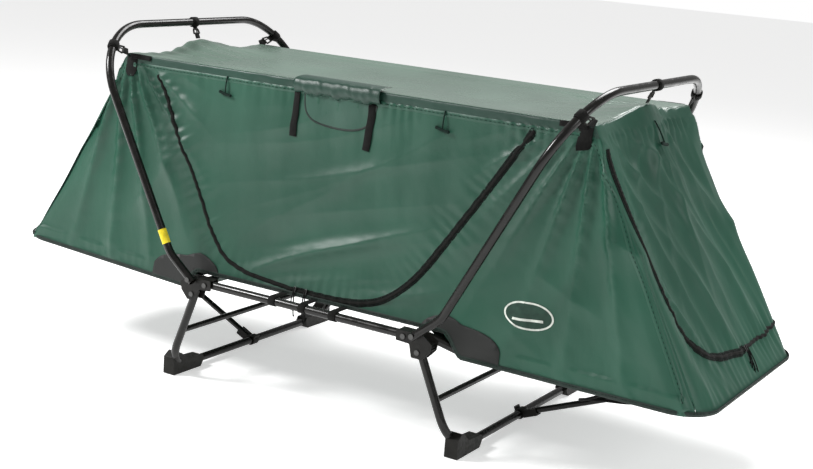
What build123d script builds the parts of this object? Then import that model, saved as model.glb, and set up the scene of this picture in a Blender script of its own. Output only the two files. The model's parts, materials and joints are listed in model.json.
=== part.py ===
"""Tent cot: a folding camp bed on two U legs, with two bows that hold up a tent.

X runs along the bed, Y across it, Z up. The origin is on the floor under the middle of the bed.
Each end section, leg, bow and brace turns on a pin along Y.
"""

import os
from math import atan2, cos, hypot, radians, sin, tan

from build123d import *

# ---- driving dimensions, mm and degrees ----
BED_LENGTH = 2134  # over the hems of the two end sections
HEM_HALF_WIDTH = 351  # from the bed's middle to the outside of the hem
HEM_Z = 249  # the hem's underside along the end sections
CENTRE_HEM_Z = 303  # the tent's lower edge between the brackets
ROOF_HALF_LENGTH = 702
ROOF_HALF_WIDTH = 300
ROOF_Z = 860
SKIN = 3  # tent cloth with its seams, as one plain sheet

TUBE = 22  # rails, end frames, legs and bows
THIN_TUBE = 16  # cross bars and braces
WALL = 1.4  # of every tube
FIT = 0.3  # between a piece and what it goes round

HINGE_X = 350  # from the middle to the pins of the end sections
HINGE_Z = 291  # the pins, and the rails' middles
RAIL_OUTSET = 44  # from the hem out to the rail's middle
RAIL_END = 326
RAIL_BOLT_X = 312
END_RISE = {"left": 3.1, "right": 0.0}  # how far each end section stands above level
END_ROOT_INSET = 29  # from the rail in to the end frame beside its bracket
END_SIDE_CLEARANCE = 0.76  # between the end frame and the long wall that slopes in over it
END_DROP = 29  # from the pin down to the end frame's middle
END_JOG = 72  # the length over which the end frame drops and narrows
END_CORNER = 90
END_BAR_CLEARANCE = 0.66  # between the end bar and the end wall that slopes in over it

LEG_PIN = (355, 259)  # X and Z
LEG_BAR = (453, 17)  # X and Z of the bar between the feet
LEG_FOOT_INSET = 15  # from the rail in to the leg where it meets the floor
LEG_CORNER = 95
LEG_OVERRUN = 13  # tube beyond the pin
CROSS_BAR_AT = 0.485  # of the way from the pin to the bar

BOW_PIN = (350, 304)  # X and Z
BOW_OUTSET = 30  # from the rail out to the bow
BOW_KNEE = (423, 362)  # X and Z, where the bow's leg bends upwards
BOW_TOP = (730, 934)  # X and Z of the top bar
BOW_CORNER = 200
BOW_KNEE_RADIUS = 90
BOW_OVERRUN = 11

PLATE = 4  # bracket side plates
BRACKET_GAP = TUBE + 4  # between the side plates
BOLT = 8
BOLT_HEAD = 14

BRACE_PIN_INSET = 25  # from the end bar back to the brace's pin
BRACE_DROP = 43
BRACE_TIP_GAP = 18.5  # from the middle of the leg's bar to the brace's tip

SIDES = {"left": -1, "right": 1}
FACES = {"front": -1, "back": 1}
END_REACH = BED_LENGTH / 2 - HINGE_X  # from the end section's pin to the hem's outside
END_WALL_LEAN = (BED_LENGTH / 2 - ROOF_HALF_LENGTH) / (ROOF_Z - HEM_Z)  # inwards for each mm up
END_TOP = HINGE_Z - END_DROP + TUBE / 2 - HEM_Z  # from the hem up to the end frame's top
END_BAR_INSET = END_BAR_CLEARANCE + END_WALL_LEAN * END_TOP
SIDE_WALL_LEAN = (HEM_HALF_WIDTH - ROOF_HALF_WIDTH) / (ROOF_Z - HEM_Z)  # inwards for each mm up
HIGHEST_RISE = END_REACH * sin(radians(max(END_RISE.values())))
END_INSET = END_SIDE_CLEARANCE + SIDE_WALL_LEAN * (END_TOP + HIGHEST_RISE)
RAIL_Y = HEM_HALF_WIDTH + RAIL_OUTSET
END_Y = HEM_HALF_WIDTH - SKIN - TUBE / 2 - END_INSET  # the middle of the end frame's sides
END_ROOT_Y = RAIL_Y - END_ROOT_INSET
LEG_TOP_Y = RAIL_Y
LEG_FOOT_Y = RAIL_Y - LEG_FOOT_INSET
BOW_Y = RAIL_Y + BOW_OUTSET
END_BAR = END_REACH - SKIN - TUBE / 2 - END_BAR_INSET  # from the pin to the middle of the end bar
OUTER_PLATE_Y = RAIL_Y + BRACKET_GAP / 2
INNER_PLATE_Y = RAIL_Y - BRACKET_GAP / 2

os.makedirs("parts", exist_ok=True)


def keep(piece, name):
    """Label a finished piece and write it."""
    piece.part.label = name
    export_step(piece.part, f"parts/{name}.step")


def on_end(side, along, y, drop):
    """A point on an end section, from its pin outwards and down."""
    rise = radians(END_RISE[side])
    x = HINGE_X + along * cos(rise) + drop * sin(rise)
    return (SIDES[side] * x, y, HINGE_Z + along * sin(rise) - drop * cos(rise))


def end_plane(side, drop):
    """A plane on an end section, with x outwards along it and z across it, upwards."""
    rise = radians(END_RISE[side])
    s = SIDES[side]
    outward = (s * cos(rise), 0, sin(rise))
    upward = (-s * sin(rise), 0, cos(rise))
    return Plane(on_end(side, 0, 0, drop), x_dir=outward, z_dir=upward)


def tube(points, radii, size=TUBE, wall=WALL):
    """A bent tube along a route of straight runs and arcs. A wall of 0 makes it solid."""
    with BuildPart() as piece:
        with BuildLine() as route:
            if radii:
                FilletPolyline(*points, radius=radii)
            else:
                Line(*points)
        with BuildSketch(Plane(route.line @ 0, z_dir=route.line % 0)):
            Circle(size / 2)
            if wall:
                Circle(size / 2 - wall, mode=Mode.SUBTRACT)
        sweep()
    return piece


def widest_arcs(points, share=0.45, most=1e4):
    """The largest arc at each inner point of a route that leaves part of its two runs straight."""
    radii = []
    for before, here, after in zip(points, points[1:], points[2:]):
        a, b = Vector(*here) - Vector(*before), Vector(*after) - Vector(*here)
        half_turn = radians(a.get_angle(b)) / 2
        radii.append(min(most, share * min(a.length, b.length) / tan(half_turn)))
    return radii


def crosswise(length, middle):
    """Where a cylinder of this length along Y starts, from the place of its middle."""
    x, y, z = middle
    return Plane((x, y + length / 2, z), x_dir=(1, 0, 0), z_dir=(0, -1, 0))


# ---- frame of the middle section ----
def rail(face):
    y = FACES[face] * RAIL_Y
    piece = tube([(-RAIL_END, y, HINGE_Z), (RAIL_END, y, HINGE_Z)], None)
    piece = drilled(drilled(piece, -RAIL_BOLT_X, HINGE_Z), RAIL_BOLT_X, HINGE_Z)
    keep(piece, f"rail_{face}")


def bracket(side, face):
    """Two side plates joined over the rail and by ribs on the outer edge, drilled for the pins."""
    s, f = SIDES[side], FACES[face]
    top = HINGE_Z + 15
    edge = HINGE_X + 44
    outline = [
        (RAIL_BOLT_X - 20, HINGE_Z - 13),
        (RAIL_BOLT_X - 20, top),
        (HINGE_X + 18, top),
        (edge, HINGE_Z - 4),
        (edge - 4, LEG_PIN[1] + 6),
        (LEG_PIN[0] + 14, LEG_PIN[1] - 16),
        (LEG_PIN[0] - 16, LEG_PIN[1] - 16),
        (LEG_PIN[0] - 24, HINGE_Z - 15),
    ]
    with BuildPart() as piece:
        for y in (f * OUTER_PLATE_Y, f * (INNER_PLATE_Y - PLATE)):
            start = y if f > 0 else y - PLATE
            with BuildSketch(Plane((0, start + PLATE, 0), x_dir=(1, 0, 0), z_dir=(0, -1, 0))) as plate:
                with BuildLine():
                    Polyline(*[(s * x, z) for x, z in outline], close=True)
                make_face()
                fillet(plate.vertices(), 3.5)
            extrude(amount=PLATE)
        with Locations((s * (RAIL_BOLT_X + 4), f * RAIL_Y, top - 1.5)):
            Box(40, BRACKET_GAP + 1, 3)
        for rib_z in (HINGE_Z - 8, HINGE_Z - 15, HINGE_Z - 22):
            with Locations((s * (edge - 9), f * RAIL_Y, rib_z)):
                Box(9, BRACKET_GAP + 1, 2.5)
        holes = [(RAIL_BOLT_X, HINGE_Z), LEG_PIN, (HINGE_X, HINGE_Z), BOW_PIN]
        bored = {0: (OUTER_PLATE_Y, INNER_PLATE_Y), 1: (OUTER_PLATE_Y, INNER_PLATE_Y)}
        bored.update({2: (INNER_PLATE_Y,), 3: (OUTER_PLATE_Y,)})
        for number, (x, z) in enumerate(holes):
            for y in bored[number]:
                with BuildSketch(crosswise(3 * PLATE, (s * x, f * y, z))):
                    Circle(BOLT / 2 + 0.05)
                extrude(amount=3 * PLATE, mode=Mode.SUBTRACT)
    keep(piece, f"bracket_{face}_{side}")


def bolt(x, y_head, y_tip, z):
    """A round-headed bolt from its head to its nut."""
    f = 1 if y_head > y_tip else -1
    with BuildPart() as made:
        with BuildSketch(Plane((x, y_head, z), x_dir=(1, 0, 0), z_dir=(0, -f, 0))):
            Circle(BOLT / 2)
        extrude(amount=abs(y_head - y_tip))
        with BuildSketch(Plane((x, y_head, z), x_dir=(1, 0, 0), z_dir=(0, f, 0))):
            Circle(BOLT_HEAD / 2)
        extrude(amount=3)
        with BuildSketch(Plane((x, y_tip, z), x_dir=(1, 0, 0), z_dir=(0, -f, 0))):
            RegularPolygon(BOLT_HEAD / 2, 6)
        extrude(amount=4)
    return made


def bolt_group(name, place, head, tip):
    """The same bolt at all four brackets. Head and tip are the bearing faces' distances from the middle."""
    with BuildPart() as piece:
        for s in SIDES.values():
            for f in FACES.values():
                add(bolt(s * place[0], f * head, f * tip, place[1]).part)
    keep(piece, name)


def drilled(piece, x, z, size=BOLT):
    """Drill a finished piece right across at a pin."""
    with BuildPart() as made:
        add(piece.part)
        with BuildSketch(Plane((x, 600, z), x_dir=(1, 0, 0), z_dir=(0, -1, 0))):
            Circle(size / 2 + 0.05)
        extrude(amount=1200, mode=Mode.SUBTRACT)
    return made


# ---- end sections ----
def end_frame(side):
    corners = [(0, END_ROOT_Y, 0), (END_JOG * 0.15, END_ROOT_Y, 0), (END_JOG, END_Y, END_DROP)]
    corners += [(END_BAR, END_Y, END_DROP)]
    route = [on_end(side, a, -y, d) for a, y, d in corners]
    route += [on_end(side, a, y, d) for a, y, d in reversed(corners)]
    start, end = on_end(side, -BOLT, -END_ROOT_Y, 0), on_end(side, -BOLT, END_ROOT_Y, 0)
    route[0], route[-1] = start, end
    piece = tube(route, [16, 40, END_CORNER, END_CORNER, 40, 16])
    keep(drilled(piece, SIDES[side] * HINGE_X, HINGE_Z), f"end_frame_{side}")


def end_floor(side):
    """The floor cloth of an end section, stretched inside its frame."""
    inner, outer = END_JOG + 18, END_BAR - TUBE / 2 - 8
    half = END_Y - TUBE / 2 - 2
    with BuildPart() as piece:
        with BuildSketch(end_plane(side, END_DROP + SKIN / 2)) as cloth:
            with Locations(((inner + outer) / 2, 0)):
                Rectangle(outer - inner, 2 * half)
            fillet(cloth.vertices().group_by(Axis.X)[-1], END_CORNER - TUBE / 2 - 2)
        extrude(amount=SKIN)
    keep(piece, f"floor_{side}")


def brace_line(side):
    """Where a brace runs: the leg's bar, the brace's pin, and the run's slope and length."""
    s = SIDES[side]
    x, _, z = on_end(side, END_BAR - BRACE_PIN_INSET, 0, BRACE_DROP)
    low = (s * LEG_BAR[0], LEG_BAR[1])
    reach = hypot(x - low[0], z - low[1])
    slope = atan2(z - low[1], s * (x - low[0]))
    return low, (x, z), slope, reach


def brace_lug(side):
    """Two cheeks under the end bar that hold the brace's pin."""
    half_gap = THIN_TUBE / 2 + 1
    bar = on_end(side, END_BAR, 0, END_DROP)
    pin = on_end(side, END_BAR - BRACE_PIN_INSET, 0, BRACE_DROP)
    with BuildPart() as piece:
        for f in FACES.values():
            start = half_gap if f > 0 else -half_gap - 3
            with BuildSketch(Plane((0, start + 3, 0), x_dir=(1, 0, 0), z_dir=(0, -1, 0))):
                with BuildLine():
                    Line((bar[0], bar[2]), (pin[0], pin[2]))
                trace(line_width=2 * TUBE / 3)
                with Locations((bar[0], bar[2])):
                    Circle(TUBE / 2 + 3)
                with Locations((pin[0], pin[2])):
                    Circle(TUBE / 3)
            extrude(amount=3)
        with BuildSketch(crosswise(2 * half_gap + 6, bar)):
            Circle(TUBE / 2 + 3)
        extrude(amount=2 * half_gap + 6)
        with BuildSketch(crosswise(80, bar)):
            Circle(TUBE / 2 + 0.05)
        extrude(amount=80, mode=Mode.SUBTRACT)
    lug = drilled(piece, pin[0], pin[2], BOLT - 2)
    with BuildPart() as cut:
        add(lug.part)
        with BuildSketch(Plane((0, half_gap, 0), x_dir=(1, 0, 0), z_dir=(0, -1, 0))):
            with Locations((pin[0], pin[2])):
                Circle(THIN_TUBE / 2 + 2)
        extrude(amount=2 * half_gap, mode=Mode.SUBTRACT)
    keep(cut, f"brace_lug_{side}")
    with BuildPart() as rivet:
        length = 2 * half_gap + 10
        with BuildSketch(crosswise(length, pin)):
            Circle(BOLT / 2 - 1)
        extrude(amount=length)
        for y in (-length / 2, length / 2 - 2):
            with BuildSketch(Plane((pin[0], y + 2, pin[2]), x_dir=(1, 0, 0), z_dir=(0, -1, 0))):
                Circle(BOLT / 2 + 1.5)
            extrude(amount=2)
    keep(rivet, f"brace_rivet_{side}")


def brace(side):
    low, pin, slope, reach = brace_line(side)
    s = SIDES[side]
    along = (s * cos(slope), sin(slope))
    tip = (low[0] + BRACE_TIP_GAP * along[0], 0, low[1] + BRACE_TIP_GAP * along[1])
    root = (pin[0] + 6 * along[0], 0, pin[1] + 6 * along[1])
    piece = tube([tip, root], None, THIN_TUBE)
    keep(drilled(piece, *pin, BOLT - 2), f"brace_{side}")


# ---- legs ----
def leg_route(side, overrun=LEG_OVERRUN):
    s = SIDES[side]
    dx, dz = LEG_BAR[0] - LEG_PIN[0], LEG_BAR[1] - LEG_PIN[1]
    length = hypot(dx, dz)
    top = (s * (LEG_PIN[0] - overrun * dx / length), LEG_PIN[1] - overrun * dz / length)
    low = (s * LEG_BAR[0], LEG_BAR[1])
    return [
        (top[0], -LEG_TOP_Y, top[1]),
        (low[0], -LEG_FOOT_Y, low[1]),
        (low[0], LEG_FOOT_Y, low[1]),
        (top[0], LEG_TOP_Y, top[1]),
    ]


def leg(side):
    piece = tube(leg_route(side), [LEG_CORNER] * 2)
    keep(drilled(piece, SIDES[side] * LEG_PIN[0], LEG_PIN[1]), f"leg_{side}")


def leg_cross_bar(side):
    """The upper bar, with its ends shaped round the leg's tube."""
    s = SIDES[side]
    x = s * (LEG_PIN[0] + CROSS_BAR_AT * (LEG_BAR[0] - LEG_PIN[0]))
    z = LEG_PIN[1] + CROSS_BAR_AT * (LEG_BAR[1] - LEG_PIN[1])
    bar = tube([(x, -LEG_FOOT_Y, z), (x, LEG_FOOT_Y, z)], None, THIN_TUBE)
    envelope = tube(leg_route(side), [LEG_CORNER] * 2, TUBE + 0.1, 0)
    with BuildPart() as piece:
        add(bar.part)
        add(envelope.part, mode=Mode.SUBTRACT)
    with BuildPart() as middle:
        add(piece.part.solids().sort_by(SortBy.VOLUME)[-1])
    keep(middle, f"leg_cross_bar_{side}")


def feet(side):
    """Moulded feet under the two bottom corners of a leg, each with a fin along the bar."""
    s = SIDES[side]
    outline = [(-6, 0), (-6, 50), (14, 64), (28, 58), (52, 37), (118, 33), (126, 22), (112, 0)]
    envelope = tube(leg_route(side), [LEG_CORNER] * 2, TUBE + 0.1, 0)
    outer = LEG_FOOT_Y - 8
    with BuildPart() as piece:
        for f in FACES.values():
            inner_face = Plane((s * LEG_BAR[0] - 18, 0, 0), x_dir=(0, 1, 0), z_dir=(1, 0, 0))
            with BuildSketch(inner_face) as side_view:
                with BuildLine():
                    Polyline(*[(f * (outer - y), z) for y, z in outline], close=True)
                make_face()
                fillet(side_view.vertices(), 4)
            extrude(amount=36)
        add(envelope.part, mode=Mode.SUBTRACT)
    keep(piece, f"feet_{side}")


def brace_clip(side):
    """A collar on the leg's bar with an open cradle that the brace's tip drops into."""
    low, _, slope, _ = brace_line(side)
    s = SIDES[side]
    half = THIN_TUBE / 2 + 0.8
    cheek = 3
    width = 2 * (half + cheek)
    lie = Plane((low[0], width / 2, low[1]), x_dir=(s * cos(slope), 0, sin(slope)), z_dir=(0, -1, 0))
    up = s  # the sketch's y points up on the right and down on the left
    with BuildPart() as piece:
        with BuildSketch(lie):
            Circle(TUBE / 2 + 4)
            with Locations((32, up * -3)):
                Rectangle(40, THIN_TUBE + 4)
            with Locations((-7, up * 15)):
                Rectangle(5, 14)
        extrude(amount=width)
        inner = Plane(lie.origin + (0, half - width / 2, 0), x_dir=lie.x_dir, z_dir=lie.z_dir)
        with BuildSketch(inner):
            with Locations((16.2 + 30, up * (30 - half))):
                Rectangle(60, 60)
        extrude(amount=2 * half, mode=Mode.SUBTRACT)
        with BuildSketch(lie):
            Circle(TUBE / 2 + 0.05)
        extrude(amount=width, mode=Mode.SUBTRACT)
    keep(piece, f"brace_clip_{side}")


# ---- bows ----
def bow_route(side):
    s = SIDES[side]
    dx, dz = BOW_KNEE[0] - BOW_PIN[0], BOW_KNEE[1] - BOW_PIN[1]
    length = hypot(dx, dz)
    root = (BOW_PIN[0] - BOW_OVERRUN * dx / length, BOW_PIN[1] - BOW_OVERRUN * dz / length)
    near = [root, BOW_KNEE, BOW_TOP]
    return [(s * x, -BOW_Y, z) for x, z in near] + [(s * x, BOW_Y, z) for x, z in reversed(near)]


def bow(side):
    radii = [BOW_KNEE_RADIUS, BOW_CORNER, BOW_CORNER, BOW_KNEE_RADIUS]
    piece = tube(bow_route(side), radii)
    keep(drilled(piece, SIDES[side] * BOW_PIN[0], BOW_PIN[1]), f"bow_{side}")


def bow_straps(side):
    """Webbing loops round the bow's top bar, each with a tail down to the roof's end edge."""
    s = SIDES[side]
    x, z = s * BOW_TOP[0], BOW_TOP[1]
    width = 25
    ring = TUBE / 2 + FIT
    foot = (s * (ROOF_HALF_LENGTH + 4), ROOF_Z + 4)
    with BuildPart() as piece:
        for y in (-190, 0, 190):
            with BuildSketch(crosswise(width, (x, y, z))):
                with BuildLine():
                    Line((0, 0), (foot[0] - x, foot[1] - z))
                trace(line_width=3)
                Circle(ring + 2)
                Circle(ring, mode=Mode.SUBTRACT)
            extrude(amount=width)
    keep(piece, f"bow_straps_{side}")


def bow_label():
    """A plain sleeve of tape low on the front leg of the left bow."""
    dx, dz = BOW_TOP[0] - BOW_KNEE[0], BOW_TOP[1] - BOW_KNEE[1]
    length = hypot(dx, dz)
    start = BOW_KNEE_RADIUS * 0.3
    first = (BOW_KNEE[0] + start * dx / length, BOW_KNEE[1] + start * dz / length)
    last = (first[0] + 40 * dx / length, first[1] + 40 * dz / length)
    route = [(-first[0], -BOW_Y, first[1]), (-last[0], -BOW_Y, last[1])]
    keep(tube(route, None, TUBE + 1.4, 0.6), "bow_label")


# ---- floor and tent ----
def centre_floor():
    with BuildPart() as cloth:
        with BuildSketch(Plane.XY.offset(CENTRE_HEM_Z - 3)):
            Rectangle(2 * (HINGE_X - 75), 2 * (HEM_HALF_WIDTH - 14))
        extrude(amount=SKIN)
    keep(cloth, "floor_centre")
    strap_end = RAIL_Y - TUBE / 2
    strap_root = HEM_HALF_WIDTH - 15
    with BuildPart() as straps:
        for f in FACES.values():
            for x in (-95, 0, 95):
                with BuildSketch(Plane((x - 12, 0, 0), x_dir=(0, 1, 0), z_dir=(1, 0, 0))):
                    with Locations((f * RAIL_Y, HINGE_Z)):
                        Circle(TUBE / 2 + FIT + 2)
                        Circle(TUBE / 2 + FIT, mode=Mode.SUBTRACT)
                    with Locations((f * (strap_end + strap_root) / 2, HINGE_Z + 5)):
                        Rectangle(strap_end - strap_root, 2)
                extrude(amount=24)
    keep(straps, "floor_straps")


def hem_height(side):
    """The hem's height at the far end of an end section."""
    return HEM_Z + END_REACH * sin(radians(END_RISE[side]))


def side_slant(z):
    """How far the long walls stand from the middle at height z."""
    return ROOF_HALF_WIDTH + (HEM_HALF_WIDTH - ROOF_HALF_WIDTH) * (ROOF_Z - z) / (ROOF_Z - HEM_Z)


def end_slant(side, z):
    """How far an end wall stands from the middle at height z."""
    spread = BED_LENGTH / 2 - ROOF_HALF_LENGTH
    return ROOF_HALF_LENGTH + spread * (ROOF_Z - z) / (ROOF_Z - hem_height(side))


def wall_plane(face, out=0):
    """The outside of a long wall, moved out of it. Its x runs along X, its y up the wall."""
    f = FACES[face]
    drop, spread = ROOF_Z - HEM_Z, HEM_HALF_WIDTH - ROOF_HALF_WIDTH
    slope = hypot(drop, spread)
    normal = (0, f * drop / slope, spread / slope)
    origin = (0, f * (ROOF_HALF_WIDTH + out * drop / slope), ROOF_Z + out * spread / slope)
    return Plane(origin, x_dir=(-f, 0, 0), z_dir=normal)


def on_wall(face, x, z):
    """A place on a long wall in its plane's own x and y."""
    drop, spread = ROOF_Z - HEM_Z, HEM_HALF_WIDTH - ROOF_HALF_WIDTH
    return (-FACES[face] * x, (z - ROOF_Z) * hypot(drop, spread) / drop)


def end_wall_plane(side, out=0):
    """The outside of an end wall, moved out of it. Its y runs up the wall."""
    s = SIDES[side]
    drop, spread = ROOF_Z - hem_height(side), BED_LENGTH / 2 - ROOF_HALF_LENGTH
    slope = hypot(drop, spread)
    normal = (s * drop / slope, 0, spread / slope)
    origin = (s * (ROOF_HALF_LENGTH + out * drop / slope), 0, ROOF_Z + out * spread / slope)
    return Plane(origin, x_dir=(0, s, 0), z_dir=normal)


def on_end_wall(side, y, z):
    """A place on an end wall in its plane's own x and y."""
    drop, spread = ROOF_Z - hem_height(side), BED_LENGTH / 2 - ROOF_HALF_LENGTH
    return (SIDES[side] * y, (z - ROOF_Z) * hypot(drop, spread) / drop)


def roof():
    with BuildPart() as piece:
        with BuildSketch(Plane.XY.offset(ROOF_Z - SKIN)):
            Rectangle(2 * ROOF_HALF_LENGTH, 2 * ROOF_HALF_WIDTH)
        extrude(amount=SKIN)
    keep(piece, "tent_roof")


def frame_opening():
    """The lower edge of a long wall over the place where the end frame goes in under it."""
    inside = HINGE_X + END_JOG + 6
    outer_step = [(inside, HEM_Z + 2), (inside, HEM_Z + 27)]
    return outer_step + [(HINGE_X + 15, CENTRE_HEM_Z + 1), (HINGE_X - 20, CENTRE_HEM_Z)]


def side_wall(face):
    top = ROOF_Z - SKIN - 1
    outline = []
    for side, s in SIDES.items():
        half = [(s * end_slant(side, z), z) for z in (top, hem_height(side))]
        half += [(s * x, z) for x, z in frame_opening()]
        outline += half if s > 0 else half[::-1]
    with BuildPart() as piece:
        with BuildSketch(wall_plane(face)):
            with BuildLine():
                Polyline(*[on_wall(face, x, z) for x, z in outline], close=True)
            make_face()
        extrude(amount=-SKIN)
    keep(piece, f"tent_{face}_wall")


def end_wall(side):
    top, hem = ROOF_Z - SKIN - 1, hem_height(side)
    inset = SKIN + 2
    outline = [(-side_slant(top) + inset, top), (side_slant(top) - inset, top)]
    outline += [(side_slant(hem) - inset, hem), (-side_slant(hem) + inset, hem)]
    with BuildPart() as piece:
        with BuildSketch(end_wall_plane(side)) as cloth:
            with BuildLine():
                Polyline(*[on_end_wall(side, y, z) for y, z in outline], close=True)
            make_face()
        extrude(amount=-SKIN)
    keep(piece, f"tent_{side}_end")


def ribbon(plane, points, width, thick):
    """A flat band that runs along a route on a plane, standing out of it by its thickness."""
    middle = plane.offset(thick / 2)
    with BuildPart() as piece:
        with BuildLine() as route:
            corners = [middle.from_local_coords((x, y, 0)) for x, y in points]
            FilletPolyline(*corners, radius=widest_arcs(points))
        with BuildSketch(Plane(route.line @ 0, x_dir=plane.z_dir, z_dir=route.line % 0)):
            Rectangle(thick, width)
        sweep()
    return piece


def side_door_zipper():
    """The zip round the front door, from the left eave round to the right eave."""
    course = [(-586, 806), (-470, 602), (-345, 385), (-284, 338), (-113, 321)]
    course += [(60, 314), (205, 340), (286, 410)]
    course += [(420, 610), (556, 820)]
    points = [on_wall("front", x, z) for x, z in course]
    keep(ribbon(wall_plane("front", 0.5), points, 12, 2), "side_door_zipper")


def end_door_zipper(side):
    """The zip of an end door: down the front edge and along above the hem."""
    course = [(-276, 800), (-266, 500), (-240, 400), (-150, 330), (44, 318), (300, 316)]
    rise = hem_height(side) - HEM_Z
    points = [on_end_wall(side, y, z + rise * (ROOF_Z - z) / (ROOF_Z - HEM_Z)) for y, z in course]
    keep(ribbon(end_wall_plane(side, 0.5), points, 12, 2), f"end_door_zipper_{side}")


def zipper_pulls():
    """Sliders on the three zips, each with a short pull tab lying on the cloth."""
    with BuildPart() as piece:
        for x in (-62, -30):
            with BuildSketch(wall_plane("front", 3)):
                with Locations(on_wall("front", x, 318)):
                    Rectangle(11, 16)
                with Locations(on_wall("front", x, 283)):
                    Rectangle(5, 56)
            extrude(amount=3)
        for side in SIDES:
            for y in (36, 54):
                z = hem_height(side) + 68
                with BuildSketch(end_wall_plane(side, 3)):
                    with Locations(on_end_wall(side, y, z)):
                        Rectangle(11, 16)
                    with Locations(on_end_wall(side, y, z - 25)):
                        Rectangle(5, 40)
                extrude(amount=3)
    keep(piece, "zipper_pulls")


def wall_patch(name, shapes, thick=1.5, out=0.4, face="front"):
    """Flat shapes sewn on a long wall, each given by the X and Z of its corners."""
    with BuildPart() as piece:
        for corners in shapes:
            with BuildSketch(wall_plane(face, out)):
                with BuildLine():
                    Polyline(*[on_wall(face, x, z) for x, z in corners], close=True)
                make_face()
            extrude(amount=thick)
    keep(piece, name)


def strip(x, z, width, length, lean=0):
    """The corners of a strap that hangs from (x, z)."""
    return [(x, z), (x + width, z), (x + width + lean, z - length), (x + lean, z - length)]


def frame_patches():
    """Reinforced half ovals where the frame goes in under the tent, one at each bracket."""
    inner, outer, top = HINGE_X - 27, HINGE_X + 197, CENTRE_HEM_Z + 35
    with BuildPart() as piece:
        for face in FACES:
            for s in SIDES.values():
                edge = [(s * x, z + 1) for x, z in [(outer, HEM_Z + 40)] + frame_opening()[:3]]
                edge += [(s * inner, CENTRE_HEM_Z + 2)]
                with BuildSketch(wall_plane(face, 0.4)):
                    with BuildLine():
                        Polyline(*[on_wall(face, x, z) for x, z in edge])
                        middle = on_wall(face, s * (inner + outer) / 2, top)
                        ThreePointArc(on_wall(face, *edge[-1]), middle, on_wall(face, *edge[0]))
                    make_face()
                extrude(amount=1.5)
    keep(piece, "frame_patches")


def badge():
    with BuildPart() as piece:
        with BuildSketch(wall_plane("front", 0.4)):
            with Locations(on_wall("front", 605, 388)):
                Ellipse(68, 34)
        extrude(amount=1)
    keep(piece, "badge")


def storage_loop():
    """An elastic loop under the right end section that holds the folded cot shut."""
    under = END_DROP + SKIN / 2 + 4.6
    hang = [(500, -262, under), (440, -250, 72), (372, -238, 108), (345, -190, 124), (380, -150, 128)]
    hang += [(450, -140, 122), (530, -150, 98), (600, -170, 62), (652, -190, under)]
    route = [on_end("right", *place) for place in hang]
    keep(tube(route, widest_arcs(route, most=80), 7, 0), "storage_loop")


for face in FACES:
    rail(face)
    side_wall(face)
    for side in SIDES:
        bracket(side, face)
for side in SIDES:
    end_frame(side)
    end_floor(side)
    brace_lug(side)
    brace(side)
    leg(side)
    leg_cross_bar(side)
    feet(side)
    brace_clip(side)
    bow(side)
    bow_straps(side)
    end_wall(side)
    end_door_zipper(side)
bolt_group("rail_bolts", (RAIL_BOLT_X, HINGE_Z), OUTER_PLATE_Y + PLATE, INNER_PLATE_Y - PLATE)
bolt_group("leg_bolts", LEG_PIN, OUTER_PLATE_Y + PLATE, INNER_PLATE_Y - PLATE)
bolt_group("end_pins", (HINGE_X, HINGE_Z), INNER_PLATE_Y, END_ROOT_Y - TUBE / 2 - 1)
bolt_group("bow_bolts", BOW_PIN, BOW_Y + TUBE / 2 + 1, OUTER_PLATE_Y)
bow_label()
centre_floor()
roof()
side_door_zipper()
zipper_pulls()
wall_patch("vent_awning", [[(-119, 852), (143, 852), (126, 800), (60, 757), (-30, 757), (-98, 800)]])
wall_patch("awning_ties", [strip(-131, 828, 22, 118, -2), strip(97, 824, 22, 118, -4)], 3, 2.5)
wall_patch("wall_toggles", [strip(-361, 846, 16, 56), strip(310, 842, 16, 58)], 8, 0.6)
corner_spots = [-ROOF_HALF_LENGTH + 4, ROOF_HALF_LENGTH - 44]
wall_patch("corner_patches_front", [strip(x, ROOF_Z - 6, 40, 60) for x in corner_spots])
wall_patch("corner_patches_back", [strip(x, ROOF_Z - 6, 40, 60) for x in corner_spots], face="back")
frame_patches()
badge()
storage_loop()
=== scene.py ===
"""The finish of a tent cot: sewn nylon tent, zips, webbing and hardware round the fixed frame."""

import json
import math

import bmesh
import bpy
from mathutils import Matrix, Vector, noise
from mathutils.bvhtree import BVHTree
from mathutils.kdtree import KDTree

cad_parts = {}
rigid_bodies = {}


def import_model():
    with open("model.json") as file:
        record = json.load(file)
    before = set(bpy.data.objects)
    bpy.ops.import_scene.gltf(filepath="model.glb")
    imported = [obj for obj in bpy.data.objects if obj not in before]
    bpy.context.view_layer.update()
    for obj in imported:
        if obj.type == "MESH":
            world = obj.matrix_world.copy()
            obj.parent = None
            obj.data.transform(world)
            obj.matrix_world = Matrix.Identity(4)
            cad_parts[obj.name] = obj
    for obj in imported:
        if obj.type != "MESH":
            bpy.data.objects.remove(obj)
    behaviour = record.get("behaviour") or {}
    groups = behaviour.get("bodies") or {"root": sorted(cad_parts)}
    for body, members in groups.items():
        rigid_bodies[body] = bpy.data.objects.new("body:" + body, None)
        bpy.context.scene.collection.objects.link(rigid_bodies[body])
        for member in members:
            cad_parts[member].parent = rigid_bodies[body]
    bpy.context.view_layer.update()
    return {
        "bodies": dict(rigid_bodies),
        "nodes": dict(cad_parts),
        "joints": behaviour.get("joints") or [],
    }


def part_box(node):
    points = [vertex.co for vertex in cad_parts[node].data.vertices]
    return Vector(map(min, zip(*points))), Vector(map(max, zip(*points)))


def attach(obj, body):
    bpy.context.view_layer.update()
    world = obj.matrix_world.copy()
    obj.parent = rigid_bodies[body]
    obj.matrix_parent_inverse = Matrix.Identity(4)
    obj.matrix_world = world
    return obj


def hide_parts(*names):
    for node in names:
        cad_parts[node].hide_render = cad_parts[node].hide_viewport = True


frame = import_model()
MM = 0.001
scene = bpy.context.scene
scene.view_settings.view_transform = "Standard"

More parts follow.
